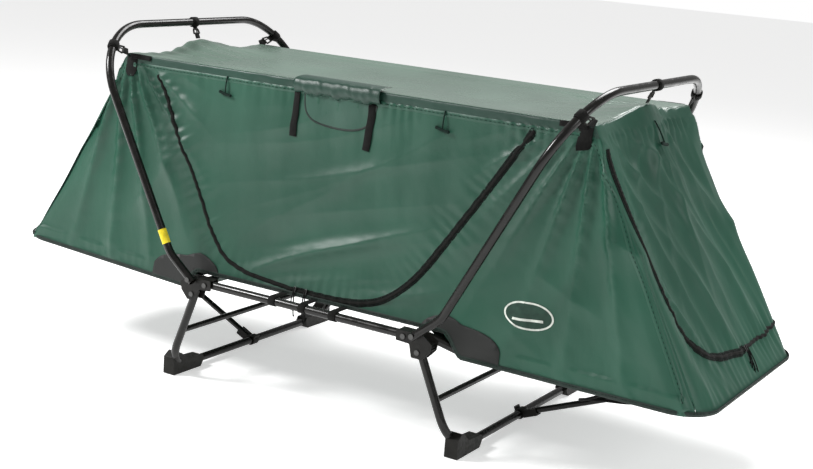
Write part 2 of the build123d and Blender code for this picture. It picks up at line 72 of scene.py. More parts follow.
# ---- places taken from the frame, in metres ----
roof_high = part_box("tent_roof")[1]
front_low, front_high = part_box("tent_front_wall")
rail_low, rail_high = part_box("rail_front")
joint_at = {j["name"]: Vector(j["pos_m"]) for j in frame["joints"]}
ROOF_X, ROOF_Y, ROOF_Z = roof_high.x, roof_high.y, roof_high.z
HEM_X, HEM_Y = front_high.x, -front_low.y
HEM_Z = front_low.z
HEM_RISE = {-1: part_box("tent_left_end")[0].z - HEM_Z, 1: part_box("tent_right_end")[0].z - HEM_Z}
RAIL_Y = -(rail_low.y + rail_high.y) / 2
RAIL_Z = (rail_high.z + rail_low.z) / 2
CENTRE_HEM_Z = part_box("floor_centre")[1].z
HINGE = abs(joint_at["left_end_fold"].x)
HEM_CORNER = 95 * MM
BOW_RADIUS = 11 * MM  # of its tube, and of the rails'
BOW_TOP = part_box("bow_right")[1] - Vector((BOW_RADIUS, 0, BOW_RADIUS))
BOW_KNEE = Vector((423 * MM, 0, 362 * MM))
BOW_CORNER = 200 * MM
BOW_Y = 425 * MM


# ---- camera, light and floor ----
CAMERA_PLACE = (1.98934, -3.25007, 1.30394)
CAMERA_TURN, CAMERA_LIFT, CAMERA_ROLL = 30.76, 12.95, 4.4  # degrees
CAMERA_LENS = 62.43
SKY_ON_THINGS, SKY_SEEN = 0.36, 1.0  # the sky's strength as light, and as background


def add_camera():
    turn, lift, roll = math.radians(CAMERA_TURN), math.radians(CAMERA_LIFT), math.radians(CAMERA_ROLL)
    right = Vector((math.cos(turn), math.sin(turn), 0))
    back = Vector((math.sin(turn) * math.cos(lift), -math.cos(turn) * math.cos(lift), math.sin(lift)))
    up = back.cross(right)
    across = math.cos(roll) * right + math.sin(roll) * up
    upward = math.cos(roll) * up - math.sin(roll) * right
    data = bpy.data.cameras.new("camera")
    data.sensor_width, data.lens = 36, CAMERA_LENS
    camera = bpy.data.objects.new("camera", data)
    scene.collection.objects.link(camera)
    turned = Matrix((across, upward, back)).transposed().to_4x4()
    camera.matrix_world = Matrix.Translation(CAMERA_PLACE) @ turned
    scene.camera = camera


def add_area(name, place, aim, size, power):
    """A round lamp that points at a place."""
    data = bpy.data.lights.new(name, "AREA")
    data.shape, data.size, data.energy = "DISK", size, power
    lamp = bpy.data.objects.new(name, data)
    scene.collection.objects.link(lamp)
    lamp.location = place
    lamp.rotation_euler = (Vector(aim) - Vector(place)).to_track_quat("-Z", "Y").to_euler()


def add_stage():
    """Three lamps, a white sky that lights less than it shows, and a pale floor."""
    add_area("key", (-3.0, -2.4, 3.3), (0, 0, 0.5), 1.1, 200)
    add_area("fill", (4.0, -1.0, 2.2), (0.4, 0, 0.5), 1.8, 38)
    add_area("top", (0.3, 2.2, 3.9), (0, 0, 0.7), 2.6, 190)
    world = bpy.data.worlds.new("studio")
    scene.world = world
    world.use_nodes = True
    nodes, links = world.node_tree.nodes, world.node_tree.links
    nodes["Background"].inputs["Color"].default_value = (1, 1, 1, 1)
    seen = nodes.new("ShaderNodeLightPath")
    strength = nodes.new("ShaderNodeMapRange")
    strength.inputs["To Min"].default_value = SKY_ON_THINGS
    strength.inputs["To Max"].default_value = SKY_SEEN
    links.new(seen.outputs["Is Camera Ray"], strength.inputs["Value"])
    links.new(strength.outputs[0], nodes["Background"].inputs["Strength"])
    bpy.ops.mesh.primitive_plane_add(size=40, location=(0, 0, 0))
    floor = bpy.context.object
    floor.name = "floor"
    pale = bpy.data.materials.new("pale_floor")
    pale.use_nodes = True
    shader = pale.node_tree.nodes["Principled BSDF"]
    shader.inputs["Base Color"].default_value = (0.96, 0.96, 0.955, 1)
    shader.inputs["Roughness"].default_value = 0.8
    shader.inputs["Emission Color"].default_value = (1, 1, 1, 1)
    shader.inputs["Emission Strength"].default_value = 0.5
    floor.data.materials.append(pale)


add_camera()
add_stage()


# ---- materials ----
class Finish:
    """A material being built: a principled shader, with helpers for patterns and bumps."""

    def __init__(self, name, colour, roughness, **sockets):
        self.made = bpy.data.materials.new(name)
        self.made.use_nodes = True
        self.nodes, self.links = self.made.node_tree.nodes, self.made.node_tree.links
        self.shader = self.nodes["Principled BSDF"]
        self.colour = colour
        self.shader.inputs["Base Color"].default_value = (*colour, 1)
        self.shader.inputs["Roughness"].default_value = roughness
        for socket, value in sockets.items():
            self.shader.inputs[socket.replace("_", " ")].default_value = value
        self.place = self.nodes.new("ShaderNodeTexCoord")
        self.height = None

    def node(self, kind, **values):
        made = self.nodes.new(kind)
        for name, value in values.items():
            if name in made.inputs:
                made.inputs[name].default_value = value
            else:
                setattr(made, name, value)
        return made

    def noise(self, scale, detail=3, stretch=(1, 1, 1), source="Object"):
        mapping = self.node("ShaderNodeMapping")
        mapping.inputs["Scale"].default_value = stretch
        self.links.new(self.place.outputs[source], mapping.inputs["Vector"])
        made = self.node("ShaderNodeTexNoise", Scale=scale, Detail=detail)
        self.links.new(mapping.outputs[0], made.inputs["Vector"])
        return made.outputs["Fac"]

    def wave(self, pitch, axis, source="Object"):
        """Stripes of this pitch in metres."""
        scale = math.pi / 10 / pitch
        made = self.node("ShaderNodeTexWave", bands_direction=axis, wave_profile="SIN", Scale=scale)
        self.links.new(self.place.outputs[source], made.inputs["Vector"])
        return made.outputs["Fac"]

    def combine(self, a, b, operation="ADD"):
        made = self.node("ShaderNodeMath", operation=operation)
        self.links.new(a, made.inputs[0])
        if isinstance(b, (int, float)):
            made.inputs[1].default_value = b
        else:
            self.links.new(b, made.inputs[1])
        return made.outputs[0]

    def ramp(self, factor, low, high, first=0.35, last=0.65):
        made = self.node("ShaderNodeValToRGB")
        made.color_ramp.elements[0].position, made.color_ramp.elements[1].position = first, last
        made.color_ramp.elements[0].color, made.color_ramp.elements[1].color = (*low, 1), (*high, 1)
        self.links.new(factor, made.inputs[0])
        return made.outputs[0]

    def vary(self, factor, amount, first=0.35, last=0.65):
        low = [c * (1 - amount) for c in self.colour]
        high = [min(1, c * (1 + amount)) for c in self.colour]
        self.links.new(self.ramp(factor, low, high, first, last), self.shader.inputs["Base Color"])
        return self

    def roughen(self, factor, low, high):
        self.links.new(self.ramp(factor, (low,) * 3, (high,) * 3), self.shader.inputs["Roughness"])
        return self

    def bump(self, factor, distance, strength=1.0):
        made = self.node("ShaderNodeBump", Distance=distance, Strength=strength)
        self.links.new(factor, made.inputs["Height"])
        if self.height:
            self.links.new(self.height, made.inputs["Normal"])
        self.height = made.outputs[0]
        self.links.new(self.height, self.shader.inputs["Normal"])
        return self


def nylon(name, colour, roughness, pitch=1.1 * MM, creases=6 * MM, stretch=(1, 1, 0.45)):
    """Coated nylon taffeta: fine weave, small crinkles and a slightly uneven dye."""
    cloth = Finish(name, colour, roughness, Sheen_Weight=0.04, Sheen_Roughness=0.35, Specular_IOR_Level=0.5)
    cloth.vary(cloth.noise(2.2, 4), 0.16)
    cloth.roughen(cloth.noise(5, 3), roughness - 0.05, roughness + 0.08)
    cloth.bump(cloth.noise(9, 5, stretch), creases, 0.6)
    cloth.bump(cloth.noise(30, 4, stretch), creases * 0.25, 0.5)
    cloth.bump(cloth.noise(110, 3), 0.4 * MM, 0.3)
    weave = cloth.combine(cloth.wave(pitch, "X"), cloth.wave(pitch, "Z"))
    cloth.bump(weave, 0.08 * MM, 0.5)
    return cloth.made


def coated_tube(name, colour, roughness):
    """Black powder coat over steel: orange peel, faint scuffs."""
    coat = Finish(name, colour, roughness, Coat_Weight=0.12, Coat_Roughness=0.1, Specular_IOR_Level=0.3)
    coat.roughen(coat.noise(38, 5), roughness - 0.07, roughness + 0.14)
    coat.vary(coat.noise(55, 5), 0.25)
    coat.bump(coat.noise(420, 2), 0.05 * MM, 0.5)
    return coat.made


def moulded(name, colour, roughness, grain=700):
    """Plastic or paint with a fine grain."""
    plastic = Finish(name, colour, roughness, Specular_IOR_Level=0.22)
    plastic.vary(plastic.noise(60, 4), 0.2)
    plastic.roughen(plastic.noise(120, 3), roughness - 0.08, roughness + 0.1)
    plastic.bump(plastic.noise(grain, 2), 0.08 * MM, 0.6)
    return plastic.made


def webbing_finish(name, colour, source="UV", pitch=2.2 * MM):
    """Woven tape: ribs across it and a herringbone along it."""
    tape = Finish(name, colour, 0.78, Sheen_Weight=0.03, Specular_IOR_Level=0.14)
    tape.vary(tape.noise(140, 3), 0.25)
    ribs = tape.combine(tape.wave(pitch, "X", source), tape.wave(pitch * 1.6, "Y", source))
    tape.bump(ribs, 0.35 * MM, 0.7)
    return tape.made


def steel_finish(name, colour, roughness):
    """Bare fastener steel, a little rough."""
    steel = Finish(name, colour, roughness, Metallic=1.0)
    steel.roughen(steel.noise(80, 4, (1, 1, 6)), roughness - 0.08, roughness + 0.12)
    steel.bump(steel.noise(300, 2), 0.03 * MM, 0.4)
    return steel.made


GREEN = nylon("green_nylon", (0.008, 0.066, 0.038), 0.43)
# The roof's base colour is lighter than the walls' green: a painted reflection of the bright sky on the
# roof's top.
GREEN_ROOF_PAINTED_SHEEN = nylon("green_roof_painted_sheen_nylon", (0.10, 0.155, 0.122), 0.27, creases=2.5 * MM, stretch=(0.2, 2.4, 1))
# A darker copy of the green: painted shade, for the band under the eaves and the rolled awning flap.
GREEN_PAINTED_SHADE = nylon("green_painted_shade_nylon", (0.008, 0.04, 0.026), 0.4)
GREEN_DARK = nylon("green_vent_nylon", (0.02, 0.075, 0.05), 0.45)
HEM_CLOTH = nylon("hem_binding", (0.004, 0.014, 0.0095), 0.7)
FLOOR_CLOTH = nylon("floor_polyester", (0.01, 0.03, 0.021), 0.6, 1.8 * MM)
PATCH_CLOTH = nylon("coated_patch", (0.004, 0.005, 0.004), 0.55, 1.6 * MM, creases=3 * MM)
TUBE_BLACK = coated_tube("black_powder_coat", (0.0045, 0.0042, 0.0034), 0.2)
BRACKET_BLACK = moulded("black_bracket_coat", (0.0075, 0.0072, 0.006), 0.4, 500)
PLASTIC_BLACK = moulded("black_moulded_plastic", (0.008, 0.0076, 0.006), 0.5)
STEEL_DARK = steel_finish("dark_fastener_steel", (0.09, 0.09, 0.088), 0.38)
WEBBING = webbing_finish("black_webbing", (0.005, 0.005, 0.0045))
ZIP_TAPE = webbing_finish("zip_tape", (0.004, 0.006, 0.0048), pitch=1.4 * MM)
ZIP_COIL = webbing_finish("zip_coil", (0.007, 0.007, 0.006), pitch=3 * MM)
THREAD = webbing_finish("dark_thread", (0.006, 0.02, 0.014), "Object", 1.5 * MM)
CORD = webbing_finish("black_cord", (0.005, 0.005, 0.005), "Object", 1.6 * MM)
TOGGLE_CORD = webbing_finish("dark_green_cord", (0.004, 0.014, 0.01), "Object", 1.6 * MM)
BADGE = moulded("pale_badge_print", (0.62, 0.66, 0.6), 0.55)
BADGE_INK = moulded("green_badge_print", (0.02, 0.05, 0.035), 0.5)
YELLOW = moulded("yellow_tape", (0.78, 0.62, 0.03), 0.35)

CAD_FINISHES = {
    "rail": TUBE_BLACK,
    "end_frame": TUBE_BLACK,
    "leg_cross": TUBE_BLACK,
    "leg_left": TUBE_BLACK,
    "leg_right": TUBE_BLACK,
    "bow_left": TUBE_BLACK,
    "bow_right": TUBE_BLACK,
    "brace_left": TUBE_BLACK,
    "brace_right": TUBE_BLACK,
    "bracket": BRACKET_BLACK,
    "feet": PLASTIC_BLACK,
    "brace_clip": PLASTIC_BLACK,
    "brace_lug": BRACKET_BLACK,
    "brace_rivet": STEEL_DARK,
    "rail_bolts": STEEL_DARK,
    "leg_bolts": STEEL_DARK,
    "bow_bolts": STEEL_DARK,
    "end_pins": STEEL_DARK,
    "floor_": FLOOR_CLOTH,
    "bow_label": YELLOW,
    "storage_loop": CORD,
}


def dress_cad_nodes():
    """Each frame piece takes the finish of the longest name that its own name starts with."""
    for name, node in frame["nodes"].items():
        kinds = [k for k in CAD_FINISHES if name.startswith(k)]
        if kinds:
            finish = CAD_FINISHES[max(kinds, key=len)]
            node.data.materials.clear()
            node.data.materials.append(finish)


# ---- mesh helpers ----
WELD = 0.02 * MM


def piece_from(name, bm, *finishes):
    """Link a finished bmesh as a piece."""
    mesh = bpy.data.meshes.new(name)
    bm.to_mesh(mesh)
    bm.free()
    made = bpy.data.objects.new(name, mesh)
    scene.collection.objects.link(made)
    for finish in finishes:
        mesh.materials.append(finish)
    mesh.shade_smooth()
    return made


def mapped_grid(bm, across, along, place):
    """A grid of quads whose corners are placed by a function of two shares from 0 to 1."""
    made = bmesh.ops.create_grid(bm, x_segments=across, y_segments=along, size=0.5)
    uv = bm.loops.layers.uv.verify()
    shares = {v: (v.co.x + 0.5, v.co.y + 0.5) for v in made["verts"]}
    for v, (s, t) in shares.items():
        v.co = place(s, t)
    for face in {f for v in made["verts"] for f in v.link_faces}:
        for loop in face.loops:
            loop[uv].uv = shares[loop.vert]
    return made["verts"]


def smooth_route(points, step=6 * MM):
    """Evenly spaced places along one smooth curve with these control points."""
    data = bpy.data.curves.new("route", "CURVE")
    data.dimensions = "3D"
    data.resolution_u = 24
    spline = data.splines.new("NURBS")
    spline.points.add(len(points) - 1)
    for point, place in zip(spline.points, points):
        point.co = (*place, 1)
    spline.order_u = 3
    spline.use_endpoint_u = True
    holder = bpy.data.objects.new("route", data)
    line = bpy.data.meshes.new_from_object(holder)
    dense = [v.co.copy() for v in line.vertices]
    bpy.data.objects.remove(holder)
    bpy.data.meshes.remove(line)
    lengths = [0]
    for a, b in zip(dense, dense[1:]):
        lengths.append(lengths[-1] + (b - a).length)
    count = max(2, round(lengths[-1] / step))
    places, at = [], 0
    for i in range(count + 1):
        goal = lengths[-1] * i / count
        while at < len(dense) - 2 and lengths[at + 1] < goal:
            at += 1
        span = max(lengths[at + 1] - lengths[at], 1e-9)
        places.append(dense[at].lerp(dense[at + 1], (goal - lengths[at]) / span))
    return places


def directions(places):
    """The direction of travel at each place of a route."""
    last = len(places) - 1
    return [(places[min(i + 1, last)] - places[max(i - 1, 0)]).normalized() for i in range(len(places))]


def band(bm, places, normals, profile, finish=0):
    """A strip that follows a route on a surface. Its profile is (across, height) pairs."""
    ways = directions(places)
    length = sum((b - a).length for a, b in zip(places, places[1:]))

    def place(s, t):
        i, k = round(t * (len(places) - 1)), round(s * (len(profile) - 1))
        side = ways[i].cross(normals[i]).normalized()
        across, height = profile[k]
        return places[i] + side * across + normals[i] * height

    verts = mapped_grid(bm, len(profile) - 1, len(places) - 1, place)
    uv = bm.loops.layers.uv.verify()
    for face in {f for v in verts for f in v.link_faces}:
        face.material_index = finish
        for loop in face.loops:
            s, t = loop[uv].uv
            loop[uv].uv = (t * length, profile[round(s * (len(profile) - 1))][0])
    return verts


def flat_profile(width, height, thick=1.2 * MM):
    """A closed strap section with rounded edges, counted from one edge round to the other."""
    w, t = width / 2, thick / 2
    edge = [(-w, height), (-w + t, height + t), (0, height + t), (w - t, height + t), (w, height)]
    return edge + [(w - t, height - t), (0, height - t), (-w + t, height - t), (-w, height)]


def close_ends(bm):
    """Weld the seam of a wrapped strip and cap its open ends."""
    bmesh.ops.remove_doubles(bm, verts=bm.verts, dist=WELD)
    rims = [e for e in bm.edges if e.is_boundary]
    bmesh.ops.holes_fill(bm, edges=rims, sides=0)
    bmesh.ops.recalc_face_normals(bm, faces=bm.faces)


def weld(bm):
    """Merge the seams of wrapped strips and turn their faces outwards."""
    bmesh.ops.remove_doubles(bm, verts=bm.verts, dist=WELD)
    bmesh.ops.recalc_face_normals(bm, faces=bm.faces)


def thicken(piece, name, thick):
    """Give a sheet the thickness of its cloth."""
    solid = piece.modifiers.new(name, "SOLIDIFY")
    solid.thickness, solid.offset = thick, 0


# ---- the tent's shape ----
ROOF_SAG = 6 * MM
SCALLOP = 16 * MM  # how far the roof's end edge is cut back between its straps
STRAP_LIFT = 27 * MM  # of the roof's end under its middle strap


def side_y(z):
    """How far out the long walls are at this height."""
    return ROOF_Y + (HEM_Y - ROOF_Y) * (ROOF_Z - z) / (ROOF_Z - HEM_Z)


def hem_z(x):
    """The height of the tent's lower edge: low along the end sections, raised over the rails."""
    side = 1 if x > 0 else -1
    away = abs(x)
    end = HEM_Z + HEM_RISE[side] * max(0, (away - HINGE) / (HEM_X - HINGE))
    t = min(1, max(0, (away - HINGE - 35 * MM) / (60 * MM)))
    t = t * t * (3 - 2 * t)
    return CENTRE_HEM_Z + (end - CENTRE_HEM_Z) * t


def hem_point(half_length, half_width, share):
    """A place on one side of the rounded hem, by a share from -1 to 1, as (along, out)."""
    straight = half_length - HEM_CORNER
    reach = abs(share) * (straight + HEM_CORNER * math.pi / 4)
    sign = 1 if share > 0 else -1
    if reach <= straight:
        return sign * reach, half_width
    turn = (reach - straight) / HEM_CORNER
    along = straight + HEM_CORNER * math.sin(turn)
    return sign * along, half_width - HEM_CORNER * (1 - math.cos(turn))


def roof_edge(x_share, y_share):
    """A place on the roof: straight eaves, and end edges cut in curves between three straps."""
    x, y = x_share * ROOF_X, y_share * ROOF_Y
    near_end = max(0, (abs(x_share) - 0.72) / 0.28) ** 2
    scallop = math.sin(math.pi * abs(y_share)) ** 2
    x -= math.copysign(SCALLOP * scallop * near_end, x) - math.copysign(SCALLOP / 2 * near_end, x)
    lift = STRAP_LIFT * math.exp(-((y_share / 0.42) ** 2)) * near_end
    sag = -7 * MM * scallop * near_end - ROOF_SAG * (1 - y_share**2) * (1 - x_share**2)
    return Vector((x, y, ROOF_Z + lift + sag))


def wall_place(face, s, t):
    """A place on a long wall: s from left to right, t from the eave down to the hem."""
    share = 2 * s - 1
    top = roof_edge(share, face)
    x, out = hem_point(HEM_X, HEM_Y, share)
    low = Vector((x, face * out, hem_z(x)))
    low.y = face * (out - (HEM_Y - side_y(low.z)))
    return top.lerp(low, t)


def end_place(side, s, t):
    """A place on an end wall: s from front to back, t from the roof down to the hem."""
    share = 2 * s - 1
    top = roof_edge(side, share)
    y, out = hem_point(HEM_Y, HEM_X, share)
    low = Vector((side * out, y, hem_z(side * out)))
    return top.lerp(low, t)


# The zips' courses on the walls, in mm along and up. Only the open run of a zip shows its wide tape.
CLOSED_RUN = [(-592, 812), (-540, 722), (-470, 602), (-400, 482), (-345, 390), (-290, 344), (-200, 326)]
CLOSED_RUN += [(-113, 319), (-60, 316)]
OPEN_RUN = [(-60, 316), (0, 314), (70, 315), (150, 324), (215, 348), (286, 412), (358, 516), (420, 612)]
OPEN_RUN += [(500, 736), (560, 826)]
SIDE_ZIP = CLOSED_RUN + OPEN_RUN[1:]
END_RUN = [(-283, 806), (-280, 700), (-275, 600), (-268, 500), (-255, 430), (-222, 372), (-160, 338)]
END_RUN += [(-60, 322), (44, 318)]
END_TAIL = [(44, 318), (120, 318), (200, 322), (312, 330)]
END_ZIP = END_RUN + END_TAIL[1:]
COLUMNS, ENDS, ROWS = 76, 32, 34
PARTS = ["tent_roof", "tent_front_wall", "tent_back_wall", "tent_left_end", "tent_right_end"]


def tent_shell():
    """The whole tent as one sewn mesh, each panel with its own material number."""
    bm = bmesh.new()
    panels = [
        (COLUMNS, ENDS, lambda s, t: roof_edge(2 * s - 1, 2 * t - 1)),
        (COLUMNS, ROWS, lambda s, t: wall_place(-1, s, t)),
        (COLUMNS, ROWS, lambda s, t: wall_place(1, s, t)),
        (ENDS, ROWS, lambda s, t: end_place(-1, s, t)),
        (ENDS, ROWS, lambda s, t: end_place(1, s, t)),
    ]
    for number, (across, along, place) in enumerate(panels):
        verts = mapped_grid(bm, across, along, place)
        for face in {f for v in verts for f in v.link_faces}:
            face.material_index = number
    bmesh.ops.remove_doubles(bm, verts=bm.verts, dist=0.1 * MM)
    bmesh.ops.recalc_face_normals(bm, faces=bm.faces)
    return bm


def crease(turn):
    """A wave with narrow ridges and wide hollows, from -1 to 1."""
    return 2 * (1 - abs(math.sin(turn / 2))) ** 1.6 - 0.7


def fan(dx, dz, count, reach):
    """Creases that spread from one point and die away."""
    return crease(math.atan2(dx, dz) * count) * math.exp(-math.hypot(dx, dz) / reach)


# Slants across the doors: slope in degrees, pitch in metres, depth in mm, and where the wave starts.
DOOR_SLANTS = ((24, 0.19, 10, 0), (35, 0.3, 9, 2), (14, 0.1, 3, 5))
DOOR_REACH = 0.5  # from the middle to where the doors' folds die away
END_FANS = ((-ROOF_Y, 10), (0, 6))  # across the end walls in metres, and depth in mm
END_SLANTS = ((0.86, 0.5, 0.17, 9, 3.5), (0.95, 0.3, 0.09, 3, 2.5))  # share of y and z, pitch, mm, unevenness


def side_folds(x, z, down, warp, patchy):
    """On a long wall: slants across the door, uprights below the eave, and fans at the roof's corners."""
    belly = 4 * down * (1 - down)
    door = math.exp(-((x / DOOR_REACH) ** 4))
    total = 0
    for angle, pitch, depth, shift in DOOR_SLANTS:
        slant = math.radians(angle)
        across = z * math.cos(slant) - x * math.sin(slant)
        along = x * math.cos(slant) + z * math.sin(slant)
        fade = max(0, 0.35 + 1.3 * noise.noise(Vector((along * 1.5, across * 4, shift))))
        total += crease(math.tau * across / pitch + 3 * warp + shift) * depth * MM * belly * door * fade
    upright = math.tau * (x + 0.1 * z) / 0.11 + 4 * warp
    total += math.sin(upright) * 4 * MM * door * (1 - down) ** 2 * patchy
    return total


def corner_folds(side, place, down, warp):
    """On a long wall beyond the bow: a fan from the roof's corner and slants below it."""
    x, _, z = place
    belly = 4 * down * (1 - down)
    outer = min(1, max(0, (side * x - 0.36) / 0.3))
    dx, dz = ROOF_X + 10 * MM - side * x, ROOF_Z - z + 40 * MM
    total = fan(dx, dz, 26, 0.5) * 15 * MM * outer * min(1, 6 * down)
    across = z * 0.82 + side * x * 0.57
    fade = max(0, 0.3 + 1.2 * noise.noise(Vector((x * 3, z * 4, 9))))
    return total + crease(math.tau * across / 0.19 + 3 * warp) * 9 * MM * belly * outer * fade


def end_folds(y, z, down, warp, patchy):
    """On an end wall: fans from the roof's corner and middle, and slants across the door."""
    belly = 4 * down * (1 - down)
    total = 0
    for corner, depth in END_FANS:
        total += fan(y - corner, ROOF_Z - z + 40 * MM, 17, 0.35) * depth * MM * min(1, 6 * down)
    for of_y, of_z, pitch, depth, uneven in END_SLANTS:
        across = y * of_y + z * of_z
        total += crease(math.tau * across / pitch + uneven * warp) * depth * MM * belly * patchy
    return total


def folds(place):
    """How far slack cloth stands out here: each wall's own folds on a slow, uneven swell."""
    x, y, z = place
    down = (ROOF_Z - z) / (ROOF_Z - HEM_Z)
    warp = noise.noise(Vector((x * 1.7, y * 2.1, z * 2.2)))
    patchy = max(0.2, 0.7 + 0.9 * noise.noise(Vector((x * 2.0 + 7, y * 3, z * 2.7))))
    total = 7 * MM * noise.noise(Vector((x * 4, y * 4, z * 3))) * min(1, 3 * down)
    if abs(y) > abs(side_y(z)) - 60 * MM:
        total += side_folds(x, z, down, warp, patchy)
        for side in (-1, 1):
            total += corner_folds(side, place, down, warp)
    else:
        total += end_folds(y, z, down, warp, patchy)
    return total * min(1, abs(abs(y) - side_y(z) + 60 * MM) / (50 * MM))


MOST_TRAVEL = 32 * MM  # that the simulation may give to a point
EAVE_STRIP = 9 * MM


def simulate_tent(tent, frames=26):
    """Let the slack walls fall into folds between their sewn edges."""
    group = tent.vertex_groups.new(name="sewn")
    slack = tent.vertex_groups.new(name="slack")
    for v in tent.data.vertices:
        x, y, z = v.co
        held = z > ROOF_Z - EAVE_STRIP and (abs(abs(y) - ROOF_Y) < 2 * MM or abs(x) > ROOF_X - 22 * MM)
        held = held or z < hem_z(x) + 2 * MM
        group.add([v.index], 1.0 if held else 0.0, "REPLACE")
        slack.add([v.index], 0.0 if z > ROOF_Z - 12 * MM else 1.0, "REPLACE")
    cloth = tent.modifiers.new("cloth", "CLOTH")
    settings = cloth.settings
    settings.quality = 6
    settings.mass = 0.12
    settings.tension_stiffness = settings.compression_stiffness = 22
    settings.shear_stiffness = 9
    settings.bending_stiffness = 0.9
    settings.vertex_group_mass = "sewn"
    settings.pin_stiffness = 1
    settings.vertex_group_shrink = "slack"
    settings.shrink_min, settings.shrink_max = 0.0, -0.016
    settings.effector_weights.gravity = 0.35
    cloth.collision_settings.use_collision = False
    cloth.point_cache.frame_start, cloth.point_cache.frame_end = 1, frames
    for number in range(1, frames + 1):
        scene.frame_set(number)
    now = bpy.context.evaluated_depsgraph_get()
    settled = [v.co.copy() for v in tent.evaluated_get(now).data.vertices]
    tent.modifiers.remove(cloth)
    tent.vertex_groups.clear()
    scene.frame_set(1)
    for v, place in zip(tent.data.vertices, settled):
        away = place - v.co
        if away.length > MOST_TRAVEL:
            away *= MOST_TRAVEL / away.length
        v.co = v.co + away


def keep_outside(place):
    """Cloth just above the end sections' hem lies on or outside the end frames."""
    low = hem_z(place.x)
    if place.z < low + 40 * MM and abs(place.x) > HINGE + 90 * MM:
        wall = side_y(place.z) - 2.5 * MM
        if abs(place.y) > wall - 12 * MM and abs(place.y) < wall:
            place.y = math.copysign(wall, place.y)
    return place


def route_tree(points, step=6 * MM):
    """Places along a zip's course on a wall, for finding how near a point of the cloth is."""
    places = smooth_route([Vector((a * MM, 0, b * MM)) for a, b in points], step)
    tree = KDTree(len(places))
    for number, place in enumerate(places):
        tree.insert(place, number)
    tree.balance()
    return tree


def gather(run, place, depth, pitch=30 * MM):
    """Small ripples that cross a seam, at this distance along it."""
    beat = math.sin(run * math.tau / pitch + 5 * noise.noise(Vector((run * 9, place.z * 5, place.y))))
    return beat * depth * (0.6 + noise.noise(Vector((run * 6, place.y, place.z * 2))))


def pucker(bm):
    """Gathers beside the zips, below the eaves and above the hem, and long streaks on the roof."""
    side_tree, end_tree = route_tree(SIDE_ZIP), route_tree(END_ZIP)
    step = 6 * MM
    for v in bm.verts:
        x, y, z = v.co
        if z > ROOF_Z - 8 * MM and abs(y) < ROOF_Y - 4 * MM:
            streak = math.sin(y * math.tau / (58 * MM) + 2.5 * noise.noise(Vector((x * 1.3, y * 4, 1))))
            streak *= 0.5 + noise.noise(Vector((x * 0.9, y * 7, 4)))
            v.co.z += 3.0 * MM * streak * min(1, (ROOF_Y - abs(y)) / 0.04)
            continue
        if z > ROOF_Z - 3 * MM:
            continue
        below, above = ROOF_Z - 26 * MM - z, z - hem_z(x) - 12 * MM
        on_wall = abs(abs(y) - side_y(z)) < 60 * MM
        run = x if on_wall else y
        depth = 0
        if below > 0:
            depth += gather(run, v.co, 3.4 * MM) * math.exp(-below / (36 * MM))
        if above > 0:
            depth += gather(run, v.co, 1.0 * MM) * math.exp(-above / (34 * MM))
        if on_wall and y < 0:
            _, number, far = side_tree.find(Vector((x, 0, z)))
            depth += gather(number * step, v.co, 2.8 * MM) * math.exp(-far / (34 * MM))
        elif not on_wall:
            _, number, far = end_tree.find(Vector((y, 0, z)))
            depth += gather(number * step, v.co, 2.8 * MM) * math.exp(-far / (34 * MM))
        v.co += v.normal * depth


FIRST_FOLDS, LATER_FOLDS = 0.4, 0.75  # shares of the folds' depth before and after the simulation
FADE = 0.05  # folds reach their full depth this far from the eaves and the hem


def make_tent():
    """The sewn tent: simulated, cut finer, then given its folds and gathers."""
    bm = tent_shell()
    bm.normal_update()
    for v in bm.verts:
        if v.co.z < ROOF_Z - EAVE_STRIP and v.co.z > hem_z(v.co.x) + 3 * MM:
            v.co += v.normal * folds(v.co) * FIRST_FOLDS
    tent = piece_from("tent", bm)
    simulate_tent(tent)
    bm = bmesh.new()
    bm.from_mesh(tent.data)
    bpy.data.objects.remove(tent)
    for _ in range(2):
        bmesh.ops.subdivide_edges(bm, edges=bm.edges, cuts=1, use_grid_fill=True, smooth=0)
        inner = [v for v in bm.verts if not v.is_boundary]
        axes = {f"use_axis_{axis}": True for axis in "xyz"}
        bmesh.ops.smooth_vert(bm, verts=inner, factor=0.5, **axes)
    bm.normal_update()
    for v in bm.verts:
        below_eave, above_hem = ROOF_Z - 14 * MM - v.co.z, v.co.z - hem_z(v.co.x) - 4 * MM
        free = min(1, max(0, below_eave) / FADE, max(0, above_hem) / FADE)
        v.co += v.normal * folds(v.co) * LATER_FOLDS * free
        v.co = keep_outside(v.co)
    bm.normal_update()
    pucker(bm)
    bm.normal_update()
    return bm


def split_tent(bm):
    """One piece for each panel, with its edges still where its neighbours' are."""
    panels = {}
    for number, name in enumerate(PARTS):
        part = bm.copy()
        others = [f for f in part.faces if f.material_index != number]
        bmesh.ops.delete(part, geom=others, context="FACES")
        for face in part.faces:
            # Faces within 30 mm of the roof's edge on the long walls take the darker green, painted shade
            # under the eave; the roof takes its lighter green, a painted reflection of the sky.
            in_eave_shade = number in (1, 2) and face.calc_center_median().z > ROOF_Z - 30 * MM
            face.material_index = 1 if in_eave_shade else 0
        panel = piece_from(name + "_cloth", part, GREEN_ROOF_PAINTED_SHEEN if number == 0 else GREEN, GREEN_PAINTED_SHADE)
        thicken(panel, "cloth_thickness", 0.7 * MM)
        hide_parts(name)
        panels[name] = panel
    return panels


# ---- how the cloth follows the folding frame ----
def stations():
    """Where each body pulls the tent: the roof's ends, and each end section's hem at its hinge and tip."""
    found = {}
    for side, name in ((-1, "left"), (1, "right")):
        found[f"{name}_eave"] = (f"{name}_bow", Vector((side * ROOF_X, 0, ROOF_Z)))
        found[f"{name}_base"] = (f"{name}_end", Vector((side * HINGE, 0, HEM_Z)))
        found[f"{name}_tip"] = (f"{name}_end", Vector((side * HEM_X, 0, HEM_Z + HEM_RISE[side])))
    return found


HEM_STRIP, EAVE_BAND = 20 * MM, 10 * MM  # cloth that moves whole with the hem, and with the eave
SEAM_REACH = 70 * MM  # past the hinge, over which the hem goes from the rails to the end section
LEAST_SHARE = 0.001


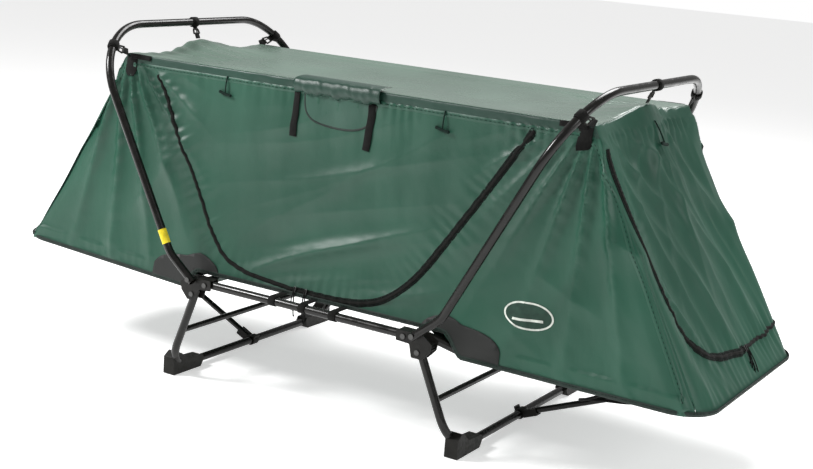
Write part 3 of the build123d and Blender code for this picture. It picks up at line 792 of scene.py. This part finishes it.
def weights_at(place):
    """How much of each station's travel a place on the tent takes: it stays between hem and eave."""
    x, _, z = place
    up = min(1, max(0, (z - HEM_Z - HEM_STRIP) / (ROOF_Z - HEM_Z - HEM_STRIP - EAVE_BAND)))
    share = max(-1, min(1, x / (ROOF_X * up + HEM_X * (1 - up))))
    shares = {"left_eave": up * (1 - share) / 2, "right_eave": up * (1 + share) / 2}
    name = "right" if share > 0 else "left"
    away = abs(share) * HEM_X
    out = min(1, max(0, (away - HINGE) / (HEM_X - HINGE)))
    joined = min(1, max(0, (away - HINGE) / SEAM_REACH))
    shares[f"{name}_tip"] = (1 - up) * out
    shares[f"{name}_base"] = (1 - up) * (1 - out) * joined
    shares["centre_frame"] = max(0, 1 - sum(shares.values()))
    return shares


def add_skeleton():
    """An armature with a bone for each body and, on it, one that carries each station without turning."""
    data = bpy.data.armatures.new("tent_pull")
    skeleton = bpy.data.objects.new("tent_pull", data)
    scene.collection.objects.link(skeleton)
    bpy.context.view_layer.objects.active = skeleton
    bpy.ops.object.mode_set(mode="EDIT")
    bodies = ("centre_frame", "left_end", "right_end", "left_bow", "right_bow")
    for body in bodies:
        bone = data.edit_bones.new(body)
        bone.head, bone.tail = (0, 0, 0), (0, 0.1, 0)
    for name, (body, place) in stations().items():
        bone = data.edit_bones.new(name)
        bone.head, bone.tail = place, place + Vector((0, 0.1, 0))
        bone.parent = data.edit_bones[body]
        bone.inherit_scale = "NONE"
        bone.use_inherit_rotation = False
    bpy.ops.object.mode_set(mode="OBJECT")
    for body in bodies:
        follow = skeleton.pose.bones[body].constraints.new("COPY_TRANSFORMS")
        follow.target = frame["bodies"][body]
    return skeleton


SKELETON = add_skeleton()


def hang(piece):
    """The piece follows the tent's cloth: each of its points moves as the stations near it do."""
    groups = {}
    for v in piece.data.vertices:
        for station, share in weights_at(v.co).items():
            if share > LEAST_SHARE:
                if station not in groups:
                    groups[station] = piece.vertex_groups.new(name=station)
                groups[station].add([v.index], share, "REPLACE")
    pull = piece.modifiers.new("follow_frame", "ARMATURE")
    pull.object = SKELETON
    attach(piece, "centre_frame")
    return piece


# ---- build the tent ----
dress_cad_nodes()
tent_mesh = make_tent()
SURFACE = BVHTree.FromBMesh(tent_mesh)
panels = split_tent(tent_mesh)
tent_mesh.free()
for panel in panels.values():
    hang(panel)


# ---- finding places on the cloth ----
def on_front(x, z, face=-1):
    """The cloth's place and outward direction on a long wall, in mm along and up."""
    x, z = x * MM, z * MM
    start = Vector((x, face * (side_y(z) + 0.12), z))
    place, normal, _, _ = SURFACE.ray_cast(start, Vector((0, -face, 0)))
    if place is None:
        return Vector((x, face * side_y(z), z)), Vector((0, face, 0.08)).normalized()
    if normal.y * face < 0:
        normal = -normal
    return place, normal


def on_end(side, y, z):
    """The cloth's place and outward direction on an end wall, in mm across and up."""
    y, z = y * MM, z * MM
    start = Vector((side * (HEM_X + 0.2), y, z))
    place, normal, _, _ = SURFACE.ray_cast(start, Vector((-side, 0, 0)))
    if place is None:
        return Vector((side * HEM_X, y, z)), Vector((side, 0, 0.6)).normalized()
    if normal.x * side < 0:
        normal = -normal
    return place, normal


def finder(face):
    """The search for places on one long wall."""

    def find(x, z):
        return on_front(x, z, face)

    return find


def laid_route(points, find, step=6 * MM):
    """A smooth route through points on a wall, laid on the cloth. Returns places and directions out."""
    flat = [Vector((a * MM, b * MM, 0)) for a, b in points]
    found = [find(p.x / MM, p.y / MM) for p in smooth_route(flat, step)]
    places = [f[0] for f in found]
    normals = [f[1] for f in found]
    for _ in range(3):
        normals = [
            (normals[max(i - 1, 0)] + n * 2 + normals[min(i + 1, len(normals) - 1)]).normalized()
            for i, n in enumerate(normals)
        ]
    return places, normals


def stitches(bm, places, normals, length=7 * MM, gap=6 * MM, offset=0.0, finish=0):
    """Short raised threads along a route."""
    ways = directions(places)
    travelled, goal = 0, gap
    for i in range(1, len(places)):
        travelled += (places[i] - places[i - 1]).length
        if travelled < goal:
            continue
        goal += length + gap
        side = ways[i].cross(normals[i]).normalized()
        turn = Matrix((ways[i], side, normals[i])).transposed().to_4x4()
        spot = places[i] + side * offset + normals[i] * 0.7 * MM
        size = Matrix.Diagonal((length, 1.1 * MM, 1.0 * MM, 1))
        made = bmesh.ops.create_cube(bm, size=1, matrix=Matrix.Translation(spot) @ turn @ size)
        for face in {f for v in made["verts"] for f in v.link_faces}:
            face.material_index = finish


def zip_piece(name, places, normals, node, width=18 * MM):
    """Tape with a raised coil down its middle, and a stitched edge each side when it is wider than 18 mm."""
    w = width / 2
    tape = [(-w, 0.3), (-w + 0.6 * MM, 1.2), (-4.4 * MM, 1.5), (-3.6 * MM, 1.6)]
    tape += [(-3 * MM, 3.0), (-1.2 * MM, 3.8)]
    section = tape + [(-a, h) for a, h in reversed(tape)]
    bm = bmesh.new()
    band(bm, places, normals, [(a, h * MM) for a, h in section])
    for face in bm.faces:
        middle = sum((loop[bm.loops.layers.uv.active].uv.y for loop in face.loops)) / len(face.loops)
        face.material_index = 1 if abs(middle) < 3.4 * MM else 0
    if width > 18 * MM:
        raised = [p + n * 1.1 * MM for p, n in zip(places, normals)]
        for offset in (-w + 3 * MM, w - 3 * MM):
            stitches(bm, raised, normals, 5 * MM, 7 * MM, offset, 2)
    made = piece_from(name, bm, ZIP_TAPE, ZIP_COIL, THREAD)
    if node:
        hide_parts(node)
    return hang(made)


def add_zips():
    """The side door's zip in its open and closed runs, and a door zip with a flat tail on each end."""
    for name, run, width, node in (
        ("side_zip_open_run", OPEN_RUN, 20 * MM, "side_door_zipper"),
        ("side_zip_closed_run", CLOSED_RUN, 12 * MM, None),
    ):
        places, normals = laid_route(run, on_front)
        zip_piece(name, places, normals, node, width)
    for side, name in ((-1, "left"), (1, "right")):
        rise = HEM_RISE[side] / MM

        def find(y, z, side=side, rise=rise):
            return on_end(side, y, z + rise * (ROOF_Z - z * MM) / (ROOF_Z - HEM_Z))

        places, normals = laid_route(END_RUN, find)
        zip_piece(f"end_zip_{name}", places, normals, f"end_door_zipper_{name}", 22 * MM)
        places, normals = laid_route(END_TAIL, find)
        zip_piece(f"end_zip_tail_{name}", places, normals, None, 10 * MM)


add_zips()


# ---- hem binding and seams ----
def hem_ring(share_step=0.004):
    """Places round the whole lower edge, and the directions out from it."""
    ring = []
    count = round(1 / share_step)
    for face, order in ((-1, 1), (1, -1)):
        side = -face
        long_side = [wall_place(face, i / count, 1) for i in range(count + 1)][::order]
        short_side = [end_place(side, i / count, 1) for i in range(0, count + 1, 3)][::order]
        ring += long_side + short_side
    clean = [ring[0]]
    for place in ring[1:]:
        if (place - clean[-1]).length > 3 * MM:
            clean.append(place)
    clean.append(clean[0].copy())
    return clean


def add_hem():
    """A folded binding with one row of stitches round the whole lower edge."""
    places = hem_ring()
    ways = directions(places)
    normals = [way.cross(Vector((0, 0, 1))).normalized() for way in ways]
    if normals[5].y > 0:
        normals = [-n for n in normals]
    section = [(10, 1.0), (9, 1.8), (5, 2.4), (0, 2.2), (-2, 0.4), (-1, -1.6), (5, -2.0), (8, -1.6)]
    flip = 1 if ways[5].cross(normals[5]).z > 0 else -1
    bm = bmesh.new()
    band(bm, places, normals, [(flip * a * MM, h * MM) for a, h in section])
    bmesh.ops.recalc_face_normals(bm, faces=bm.faces)
    raised = [p + Vector((0, 0, 6 * MM)) + n * 2.2 * MM for p, n in zip(places, normals)]
    stitches(bm, raised, normals, 5 * MM, 5 * MM, 0, 1)
    hem = piece_from("hem_binding", bm, HEM_CLOTH, THREAD)
    return hang(hem)


def seam(name, routes, doubled=False):
    """A felled seam: a low ridge with a line of stitches on it."""
    bm = bmesh.new()
    for places, normals in routes:
        section = [(-7, 0.1), (-6, 0.9), (0, 1.3), (6, 0.9), (7, 0.1)]
        band(bm, places, normals, [(a * MM, h * MM) for a, h in section])
        lifted = [p + n * 0.9 * MM for p, n in zip(places, normals)]
        for offset in (-4 * MM, 4 * MM) if doubled else (0,):
            stitches(bm, lifted, normals, 6 * MM, 6 * MM, offset, 1)
    made = piece_from(name, bm, GREEN, THREAD)
    return hang(made)


def add_seams():
    """Seams under the eaves and down the four sloping corners."""
    roof_x, roof_z, hem_x = ROOF_X / MM, ROOF_Z / MM, HEM_X / MM
    eaves = []
    for face in (-1, 1):
        line = [(x, 830) for x in range(-700, 701, 100)]
        eaves.append(laid_route(line, finder(face)))
    seam("eave_seams", eaves)
    corners = []
    for side in (-1, 1):
        for face in (-1, 1):
            low = (HEM_RISE[side] + HEM_Z) / MM
            line = []
            for k in range(9):
                t = 0.05 + 0.9 * k / 8
                spot = (roof_x + (hem_x - roof_x) * t - 12 - 30 * t) * side
                line.append((spot, roof_z + (low - roof_z) * t))
            corners.append(laid_route(line, finder(face)))
    seam("corner_seams", corners)


HEM = add_hem()
add_seams()


# ---- webbing, patches and trim on the walls ----
def strap_on(bm, points, find, width, height, thick=1.4 * MM):
    """Webbing sewn along a wall, its middle this height off the cloth."""
    places, normals = laid_route(points, find, 8 * MM)
    band(bm, places, normals, flat_profile(width, height, thick))


def add_ties():
    """Two hook-and-loop strips that hold the rolled awning up."""
    left = [(-121, 832), (-122, 790), (-124, 750), (-126, 712)]
    right = [(107, 826), (106, 790), (101, 745), (97, 706)]
    bm = bmesh.new()
    for points in (left, right):
        strap_on(bm, points, on_front, 22 * MM, 2.4 * MM, 2.2 * MM)
    close_ends(bm)
    ties = piece_from("awning_ties_webbing", bm, WEBBING)
    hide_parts("awning_ties")
    hang(ties)


def add_corner_patches():
    """Webbing at each roof corner: a tab down the wall and a strip along the eave."""
    for face, name in ((-1, "front"), (1, "back")):
        bm = bmesh.new()
        find = finder(face)
        for side in (-1, 1):
            strap_on(bm, [(side * 690, 852), (side * 690, 826), (side * 690, 798)], find, 38 * MM, 1.6 * MM)
            strap_on(bm, [(side * 696, 853), (side * 660, 853), (side * 622, 852)], find, 14 * MM, 2.4 * MM)
        close_ends(bm)
        patch = piece_from(f"corner_webbing_{name}", bm, WEBBING)
        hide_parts(f"corner_patches_{name}")
        hang(patch)


def laid_shape(bm, outline, find, lift, finish=0, pitch=12 * MM):
    """A flat shape on a wall, from the corners of its outline in mm, cut fine and laid on the cloth."""
    flat = bmesh.new()
    flat.faces.new([flat.verts.new((a * MM, b * MM, 0)) for a, b in outline])
    for axis in (0, 1):
        across = [corner[axis] * MM for corner in outline]
        way = Vector((1 - axis, axis, 0))
        for k in range(math.ceil(min(across) / pitch), math.ceil(max(across) / pitch)):
            everything = flat.verts[:] + flat.edges[:] + flat.faces[:]
            bmesh.ops.bisect_plane(flat, geom=everything, plane_co=way * k * pitch, plane_no=way)
    uv = flat.loops.layers.uv.verify()
    for face in flat.faces:
        face.material_index = finish
        for loop in face.loops:
            loop[uv].uv = loop.vert.co.xy
    for v in flat.verts:
        place, normal = find(v.co.x / MM, v.co.y / MM)
        v.co = place + normal * lift
    mesh = bpy.data.meshes.new("laid")
    flat.to_mesh(mesh)
    flat.free()
    bm.from_mesh(mesh)
    bpy.data.meshes.remove(mesh)


def curve_outline(points, step=10 * MM):
    """Closed outline round smooth control points, in mm."""
    route = smooth_route([Vector((a * MM, b * MM, 0)) for a, b in points], step)
    return [(p.x / MM, p.y / MM) for p in route]


def add_frame_patches():
    """Reinforced half ovals where the end frames go in under the tent."""
    bm = bmesh.new()
    for face in (-1, 1):
        find = finder(face)
        for side in (-1, 1):
            low = [(side * x, hem_z(side * x * MM) / MM + 5) for x in range(548, 316, -12)]
            rise = HEM_RISE[side] / MM * 0.28
            centre, half = 434, 114
            arc = []
            for k in range(1, 16):
                angle = math.pi * k / 16
                x = centre - half * math.cos(angle)
                base = (hem_z(side * x * MM) / MM + 5) * 0.4 + (286 + rise) * 0.6
                arc.append((side * x, base + 56 * math.sin(angle) ** 0.8))
            outline = low + arc
            laid_shape(bm, outline if side > 0 else outline[::-1], find, 2.0 * MM)
    patch = piece_from("frame_patches_cloth", bm, PATCH_CLOTH)
    thicken(patch, "patch_thickness", 1.4 * MM)
    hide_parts("frame_patches")
    return hang(patch)


def add_badge():
    """A plain pale oval with a darker field, with no mark or lettering on it."""
    bm = bmesh.new()

    def oval(wide, high, middle=(605, 390), sides=40):
        turns = [k * math.tau / sides for k in range(sides)]
        return [(middle[0] + wide * math.cos(a), middle[1] + high * math.sin(a)) for a in turns]

    laid_shape(bm, oval(66, 34), on_front, 1.6 * MM, 0)
    laid_shape(bm, oval(61, 29.5), on_front, 2.1 * MM, 1)
    laid_shape(bm, [(565, 374), (645, 380), (644, 386), (566, 380)], on_front, 2.6 * MM, 0)
    badge = piece_from("badge_patch", bm, BADGE, BADGE_INK)
    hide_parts("badge")
    hang(badge)


def add_vent():
    """The window under the roof's edge, with its zip and its awning rolled up on to the roof."""
    bm = bmesh.new()
    window = [(-97, 826), (-95, 795), (-80, 768), (-40, 752), (20, 748), (75, 754), (108, 778), (120, 822)]
    outline = curve_outline(window)
    laid_shape(bm, outline, on_front, 1.2 * MM)
    window_cloth = piece_from("vent_window", bm, GREEN_DARK)
    hang(window_cloth)
    bm = bmesh.new()
    places, normals = laid_route(window, on_front, 5 * MM)
    section = [(-3, 0.4), (-2.4, 1.6), (0, 2.4), (2.4, 1.6), (3, 0.4)]
    band(bm, places, normals, [(a * MM, h * MM) for a, h in section])
    rim = piece_from("vent_piping", bm, HEM_CLOTH)
    hang(rim)
    bm = bmesh.new()

    def flap(s, t):
        x = -0.128 + 0.262 * s
        edge = 6 * MM * math.sin(s * 21 + 3 * t) * (1 - t) + 4 * MM * math.sin(s * 55 + 2 + 4 * t) * (1 - t)
        curl = math.pi * 1.15 * t
        y = -ROOF_Y - 13 * MM * math.sin(curl) - 2 * MM
        z = ROOF_Z - 34 * MM + 40 * MM * (1 - math.cos(curl)) / 2 + edge * 0.5
        y += (38 * MM) * max(0, t - 0.75) / 0.25
        return Vector((x + edge * 0.2, y - abs(edge) * 0.4, z + 4 * MM * max(0, t - 0.75) * 4))

    mapped_grid(bm, 60, 18, flap)
    bmesh.ops.recalc_face_normals(bm, faces=bm.faces)
    # The flap takes the darker green: painted shade.
    awning = piece_from("vent_awning_flap", bm, GREEN_PAINTED_SHADE)
    thicken(awning, "flap_thickness", 0.9 * MM)
    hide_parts("vent_awning")
    hang(awning)
    return window_cloth


def add_floor_gaps():
    """The floor cloth that slants from the middle floor down to each end section's floor."""
    inner, outer, half = 272 * MM, 442 * MM, 316 * MM
    for side, name in ((-1, "left"), (1, "right")):

        def slant(s, t, side=side):
            x = inner + (outer - inner) * s
            drop = min(1, max(0, (x - 300 * MM) / (110 * MM)))
            drop = drop * drop * (3 - 2 * drop)
            low = HEM_Z + 3 * MM + HEM_RISE[side] * (x - HINGE) / (HEM_X - HINGE)
            z = CENTRE_HEM_Z + (low - CENTRE_HEM_Z) * drop
            y = half * (2 * t - 1)
            dip = 4 * MM * (1 - (2 * t - 1) ** 2) * math.sin(math.pi * s)
            return Vector((side * x, y, z - dip + 1.5 * MM * noise.noise(Vector((x * 16, y * 9, side)))))

        bm = bmesh.new()
        mapped_grid(bm, 20, 60, slant)
        bmesh.ops.recalc_face_normals(bm, faces=bm.faces)
        gap = piece_from(f"floor_slant_{name}", bm, FLOOR_CLOTH)
        thicken(gap, "floor_thickness", 1.0 * MM)
        hang(gap)


add_ties()
add_corner_patches()
PATCHES = add_frame_patches()
add_badge()
WINDOW = add_vent()
add_floor_gaps()


# ---- small hardware ----
def rod(bm, points, radius, sides=8, finish=0):
    """A round cord or wire along a smooth route."""
    places = smooth_route(points, max(radius * 1.6, 2 * MM))
    ways = directions(places)
    reference = Vector((0, 0, 1)) if abs(ways[0].z) < 0.8 else Vector((1, 0, 0))
    normals = []
    for way in ways:
        out = reference - way * reference.dot(way)
        normals.append(out.normalized())
        reference = normals[-1]
    turns = [k * math.tau / sides for k in range(sides + 1)]
    ring = [(radius * math.sin(a), radius * math.cos(a)) for a in turns]
    band(bm, places, normals, ring, finish)


def knot(bm, place, radius):
    """A small round knot or end."""
    at = Matrix.Translation(place)
    bmesh.ops.create_icosphere(bm, subdivisions=2, radius=radius, matrix=at)


def pull_cord(bm, place, normal, lengths, down=Vector((0, 0, -1))):
    """A zip slider with two knotted pull cords hanging from it."""
    facing = normal.to_track_quat("Z", "Y").to_matrix().to_4x4()
    slider = Matrix.Translation(place + normal * 4.5 * MM) @ facing
    shape = slider @ Matrix.Diagonal((9 * MM, 15 * MM, 5 * MM, 1))
    made = bmesh.ops.create_cube(bm, size=1, matrix=shape)
    edges = list({e for v in made["verts"] for e in v.link_edges})
    rounding = {"offset": 1.4 * MM, "segments": 2, "affect": "EDGES", "profile": 0.5, "material": -1}
    rounded = bmesh.ops.bevel(bm, geom=edges, **rounding)
    for face in rounded["faces"] + [f for v in made["verts"] if v.is_valid for f in v.link_faces]:
        face.material_index = 1
    for k, length in enumerate(lengths):
        side = (k - 0.5) * 7 * MM
        top = place + normal * 7 * MM
        low = top + down * length + normal.cross(down) * side * 1.2
        mid = top.lerp(low, 0.45) + normal * 5 * MM + Vector((side, 0, 0))
        rod(bm, [top, mid, low + normal * 2 * MM, low], 1.6 * MM)
        knot(bm, low.lerp(mid, 0.45), 3.4 * MM)
        knot(bm, low.lerp(top, 0.02), 2.4 * MM)


def add_pulls():
    """Two sliders on the side door's zip and two on each end's, all with their cords."""
    bm = bmesh.new()
    for x, lengths in ((-62, (0.058, 0.072)), (-28, (0.07, 0.085))):
        place, normal = on_front(x, 318)
        pull_cord(bm, place, normal, lengths)
    for side in (-1, 1):
        for y, lengths in ((36, (0.05, 0.075)), (54, (0.06, 0.085))):
            place, normal = on_end(side, y, 318 + HEM_RISE[side] / MM * 0.9)
            pull_cord(bm, place, normal, lengths, Vector((side * 0.5, 0, -1)).normalized())
    bmesh.ops.recalc_face_normals(bm, faces=bm.faces)
    pulls = piece_from("zip_sliders_and_pulls", bm, CORD, STEEL_DARK)
    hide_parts("zipper_pulls")
    hang(pulls)


def slope_down(normal):
    """The way down along a wall with this outward direction."""
    return (Vector((0, 0, -1)) + normal * normal.z).normalized()


def toggle(bm, place, normal, drop, across):
    """A loop of cord from the seam with a barrel toggle at its end."""
    low = place + slope_down(normal) * drop + normal * 7 * MM
    rod(bm, [place + normal * 2 * MM, place.lerp(low, 0.5) + normal * 5 * MM, low], 1.8 * MM)
    ends = [low - across * 17 * MM, low - across * 6 * MM - Vector((0, 0, 2 * MM)), low + across * 17 * MM]
    rod(bm, ends, 4 * MM, 10)
    for end in (ends[0], ends[-1]):
        knot(bm, end, 4.4 * MM)


def add_toggles():
    """Toggles that hold the rolled doors: two on the front wall and one on each end."""
    bm = bmesh.new()
    for x in (-353, 318):
        place, normal = on_front(x, 838)
        toggle(bm, place, normal, 46 * MM, Vector((0.97, 0, -0.2)))
    for side in (-1, 1):
        place, normal = on_end(side, 4, 846)
        toggle(bm, place, normal, 62 * MM, Vector((0, 0.97, -0.2)))
    bmesh.ops.recalc_face_normals(bm, faces=bm.faces)
    toggles = piece_from("door_toggles", bm, TOGGLE_CORD)
    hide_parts("wall_toggles")
    hang(toggles)


def strap_loop(bm, centre, way, radius, width):
    """Webbing wound round a tube."""
    out = way.cross(Vector((0, 0, 1))).normalized()
    up = out.cross(way).normalized()
    count = 28
    places = []
    for k in range(count + 1):
        a = k * math.tau / count
        places.append(centre + (out * math.cos(a) + up * math.sin(a)) * radius)
    normals = [(p - centre).normalized() for p in places]
    band(bm, places, normals, flat_profile(width, 0, 1.6 * MM), 0)


def roof_strap(bm, on_tube, way, foot, width=24 * MM):
    """A loop on the bow, a gate hook and a tail sewn to the roof."""
    strap_loop(bm, on_tube, way, BOW_RADIUS + 1.4 * MM, width)
    strap_loop(bm, on_tube + way * 2 * MM, way, BOW_RADIUS + 3.2 * MM, width * 0.8)
    run = foot - on_tube
    down = run.normalized()
    start = on_tube + down * (BOW_RADIUS + 2 * MM)
    face_out = way.cross(down).normalized()
    hook_top, hook_low = start.lerp(foot, 0.25), start.lerp(foot, 0.58)
    for a, b in ((start, hook_top), (hook_low, foot)):
        places = smooth_route([a, a.lerp(b, 0.5), b], 6 * MM)
        band(bm, places, [face_out] * len(places), flat_profile(width * 0.82, 0, 2 * MM), 0)
    wide = width * 0.5
    corners = [
        hook_top - way * wide * 0.8,
        hook_top + way * wide * 0.8,
        hook_low + way * wide,
        hook_low - way * wide,
        hook_top - way * wide * 0.8,
    ]
    for a, b in zip(corners, corners[1:]):
        rod(bm, [a, a.lerp(b, 0.5), b], 2.6 * MM, 8, 1)
    rod(bm, [hook_top + way * 2 * MM, hook_top.lerp(hook_low, 0.6) + way * 5 * MM, hook_low], 2.0 * MM, 8, 1)


def add_roof_straps(side, name):
    """Straps at the middle of the bow's top and half way round each of its corners."""
    bm = bmesh.new()
    leg = (Vector((BOW_TOP.x, 0, BOW_TOP.z)) - BOW_KNEE).normalized()
    top = Vector((side * BOW_TOP.x, 0, BOW_TOP.z))
    rise = run = math.sqrt(0.5)
    lower = BOW_CORNER * (1 - rise)
    for face in (-1, 1):
        out = BOW_Y - BOW_CORNER * (1 - run)
        place = Vector((side * (BOW_TOP.x - leg.x * lower), face * out, BOW_TOP.z - leg.z * lower))
        way = Vector((side * leg.x * run, -face * rise, leg.z * run)).normalized()
        roof_strap(bm, place, way, roof_edge(side, face * 0.995) + Vector((0, 0, 1 * MM)))
    roof_strap(bm, top, Vector((0, 1, 0)), roof_edge(side, 0) + Vector((0, 0, 1 * MM)))
    weld(bm)
    straps = piece_from(f"roof_straps_{name}", bm, WEBBING, PLASTIC_BLACK)
    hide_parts(f"bow_straps_{name}")
    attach(straps, f"{name}_bow")


def add_rail_straps():
    """Webbing that ties the middle floor down round the rails."""
    bm = bmesh.new()
    for face in (-1, 1):
        for x in (-95, 0, 95):
            centre = Vector((x * MM, face * RAIL_Y, RAIL_Z))
            strap_loop(bm, centre, Vector((1, 0, 0)), BOW_RADIUS + 1.4 * MM, 22 * MM)
            top = centre + Vector((0, -face * 4 * MM, BOW_RADIUS + 1.5 * MM))
            end = Vector((centre.x, face * (HEM_Y - 16 * MM), CENTRE_HEM_Z + 1 * MM))
            places = smooth_route([top, top.lerp(end, 0.5), end], 8 * MM)
            band(bm, places, [Vector((0, 0, 1))] * len(places), flat_profile(22 * MM, 0, 1.6 * MM), 0)
    weld(bm)
    straps = piece_from("rail_ties", bm, WEBBING)
    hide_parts("floor_straps")
    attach(straps, "centre_frame")


add_pulls()
add_toggles()
for side, name in ((-1, "left"), (1, "right")):
    add_roof_straps(side, name)
add_rail_straps()
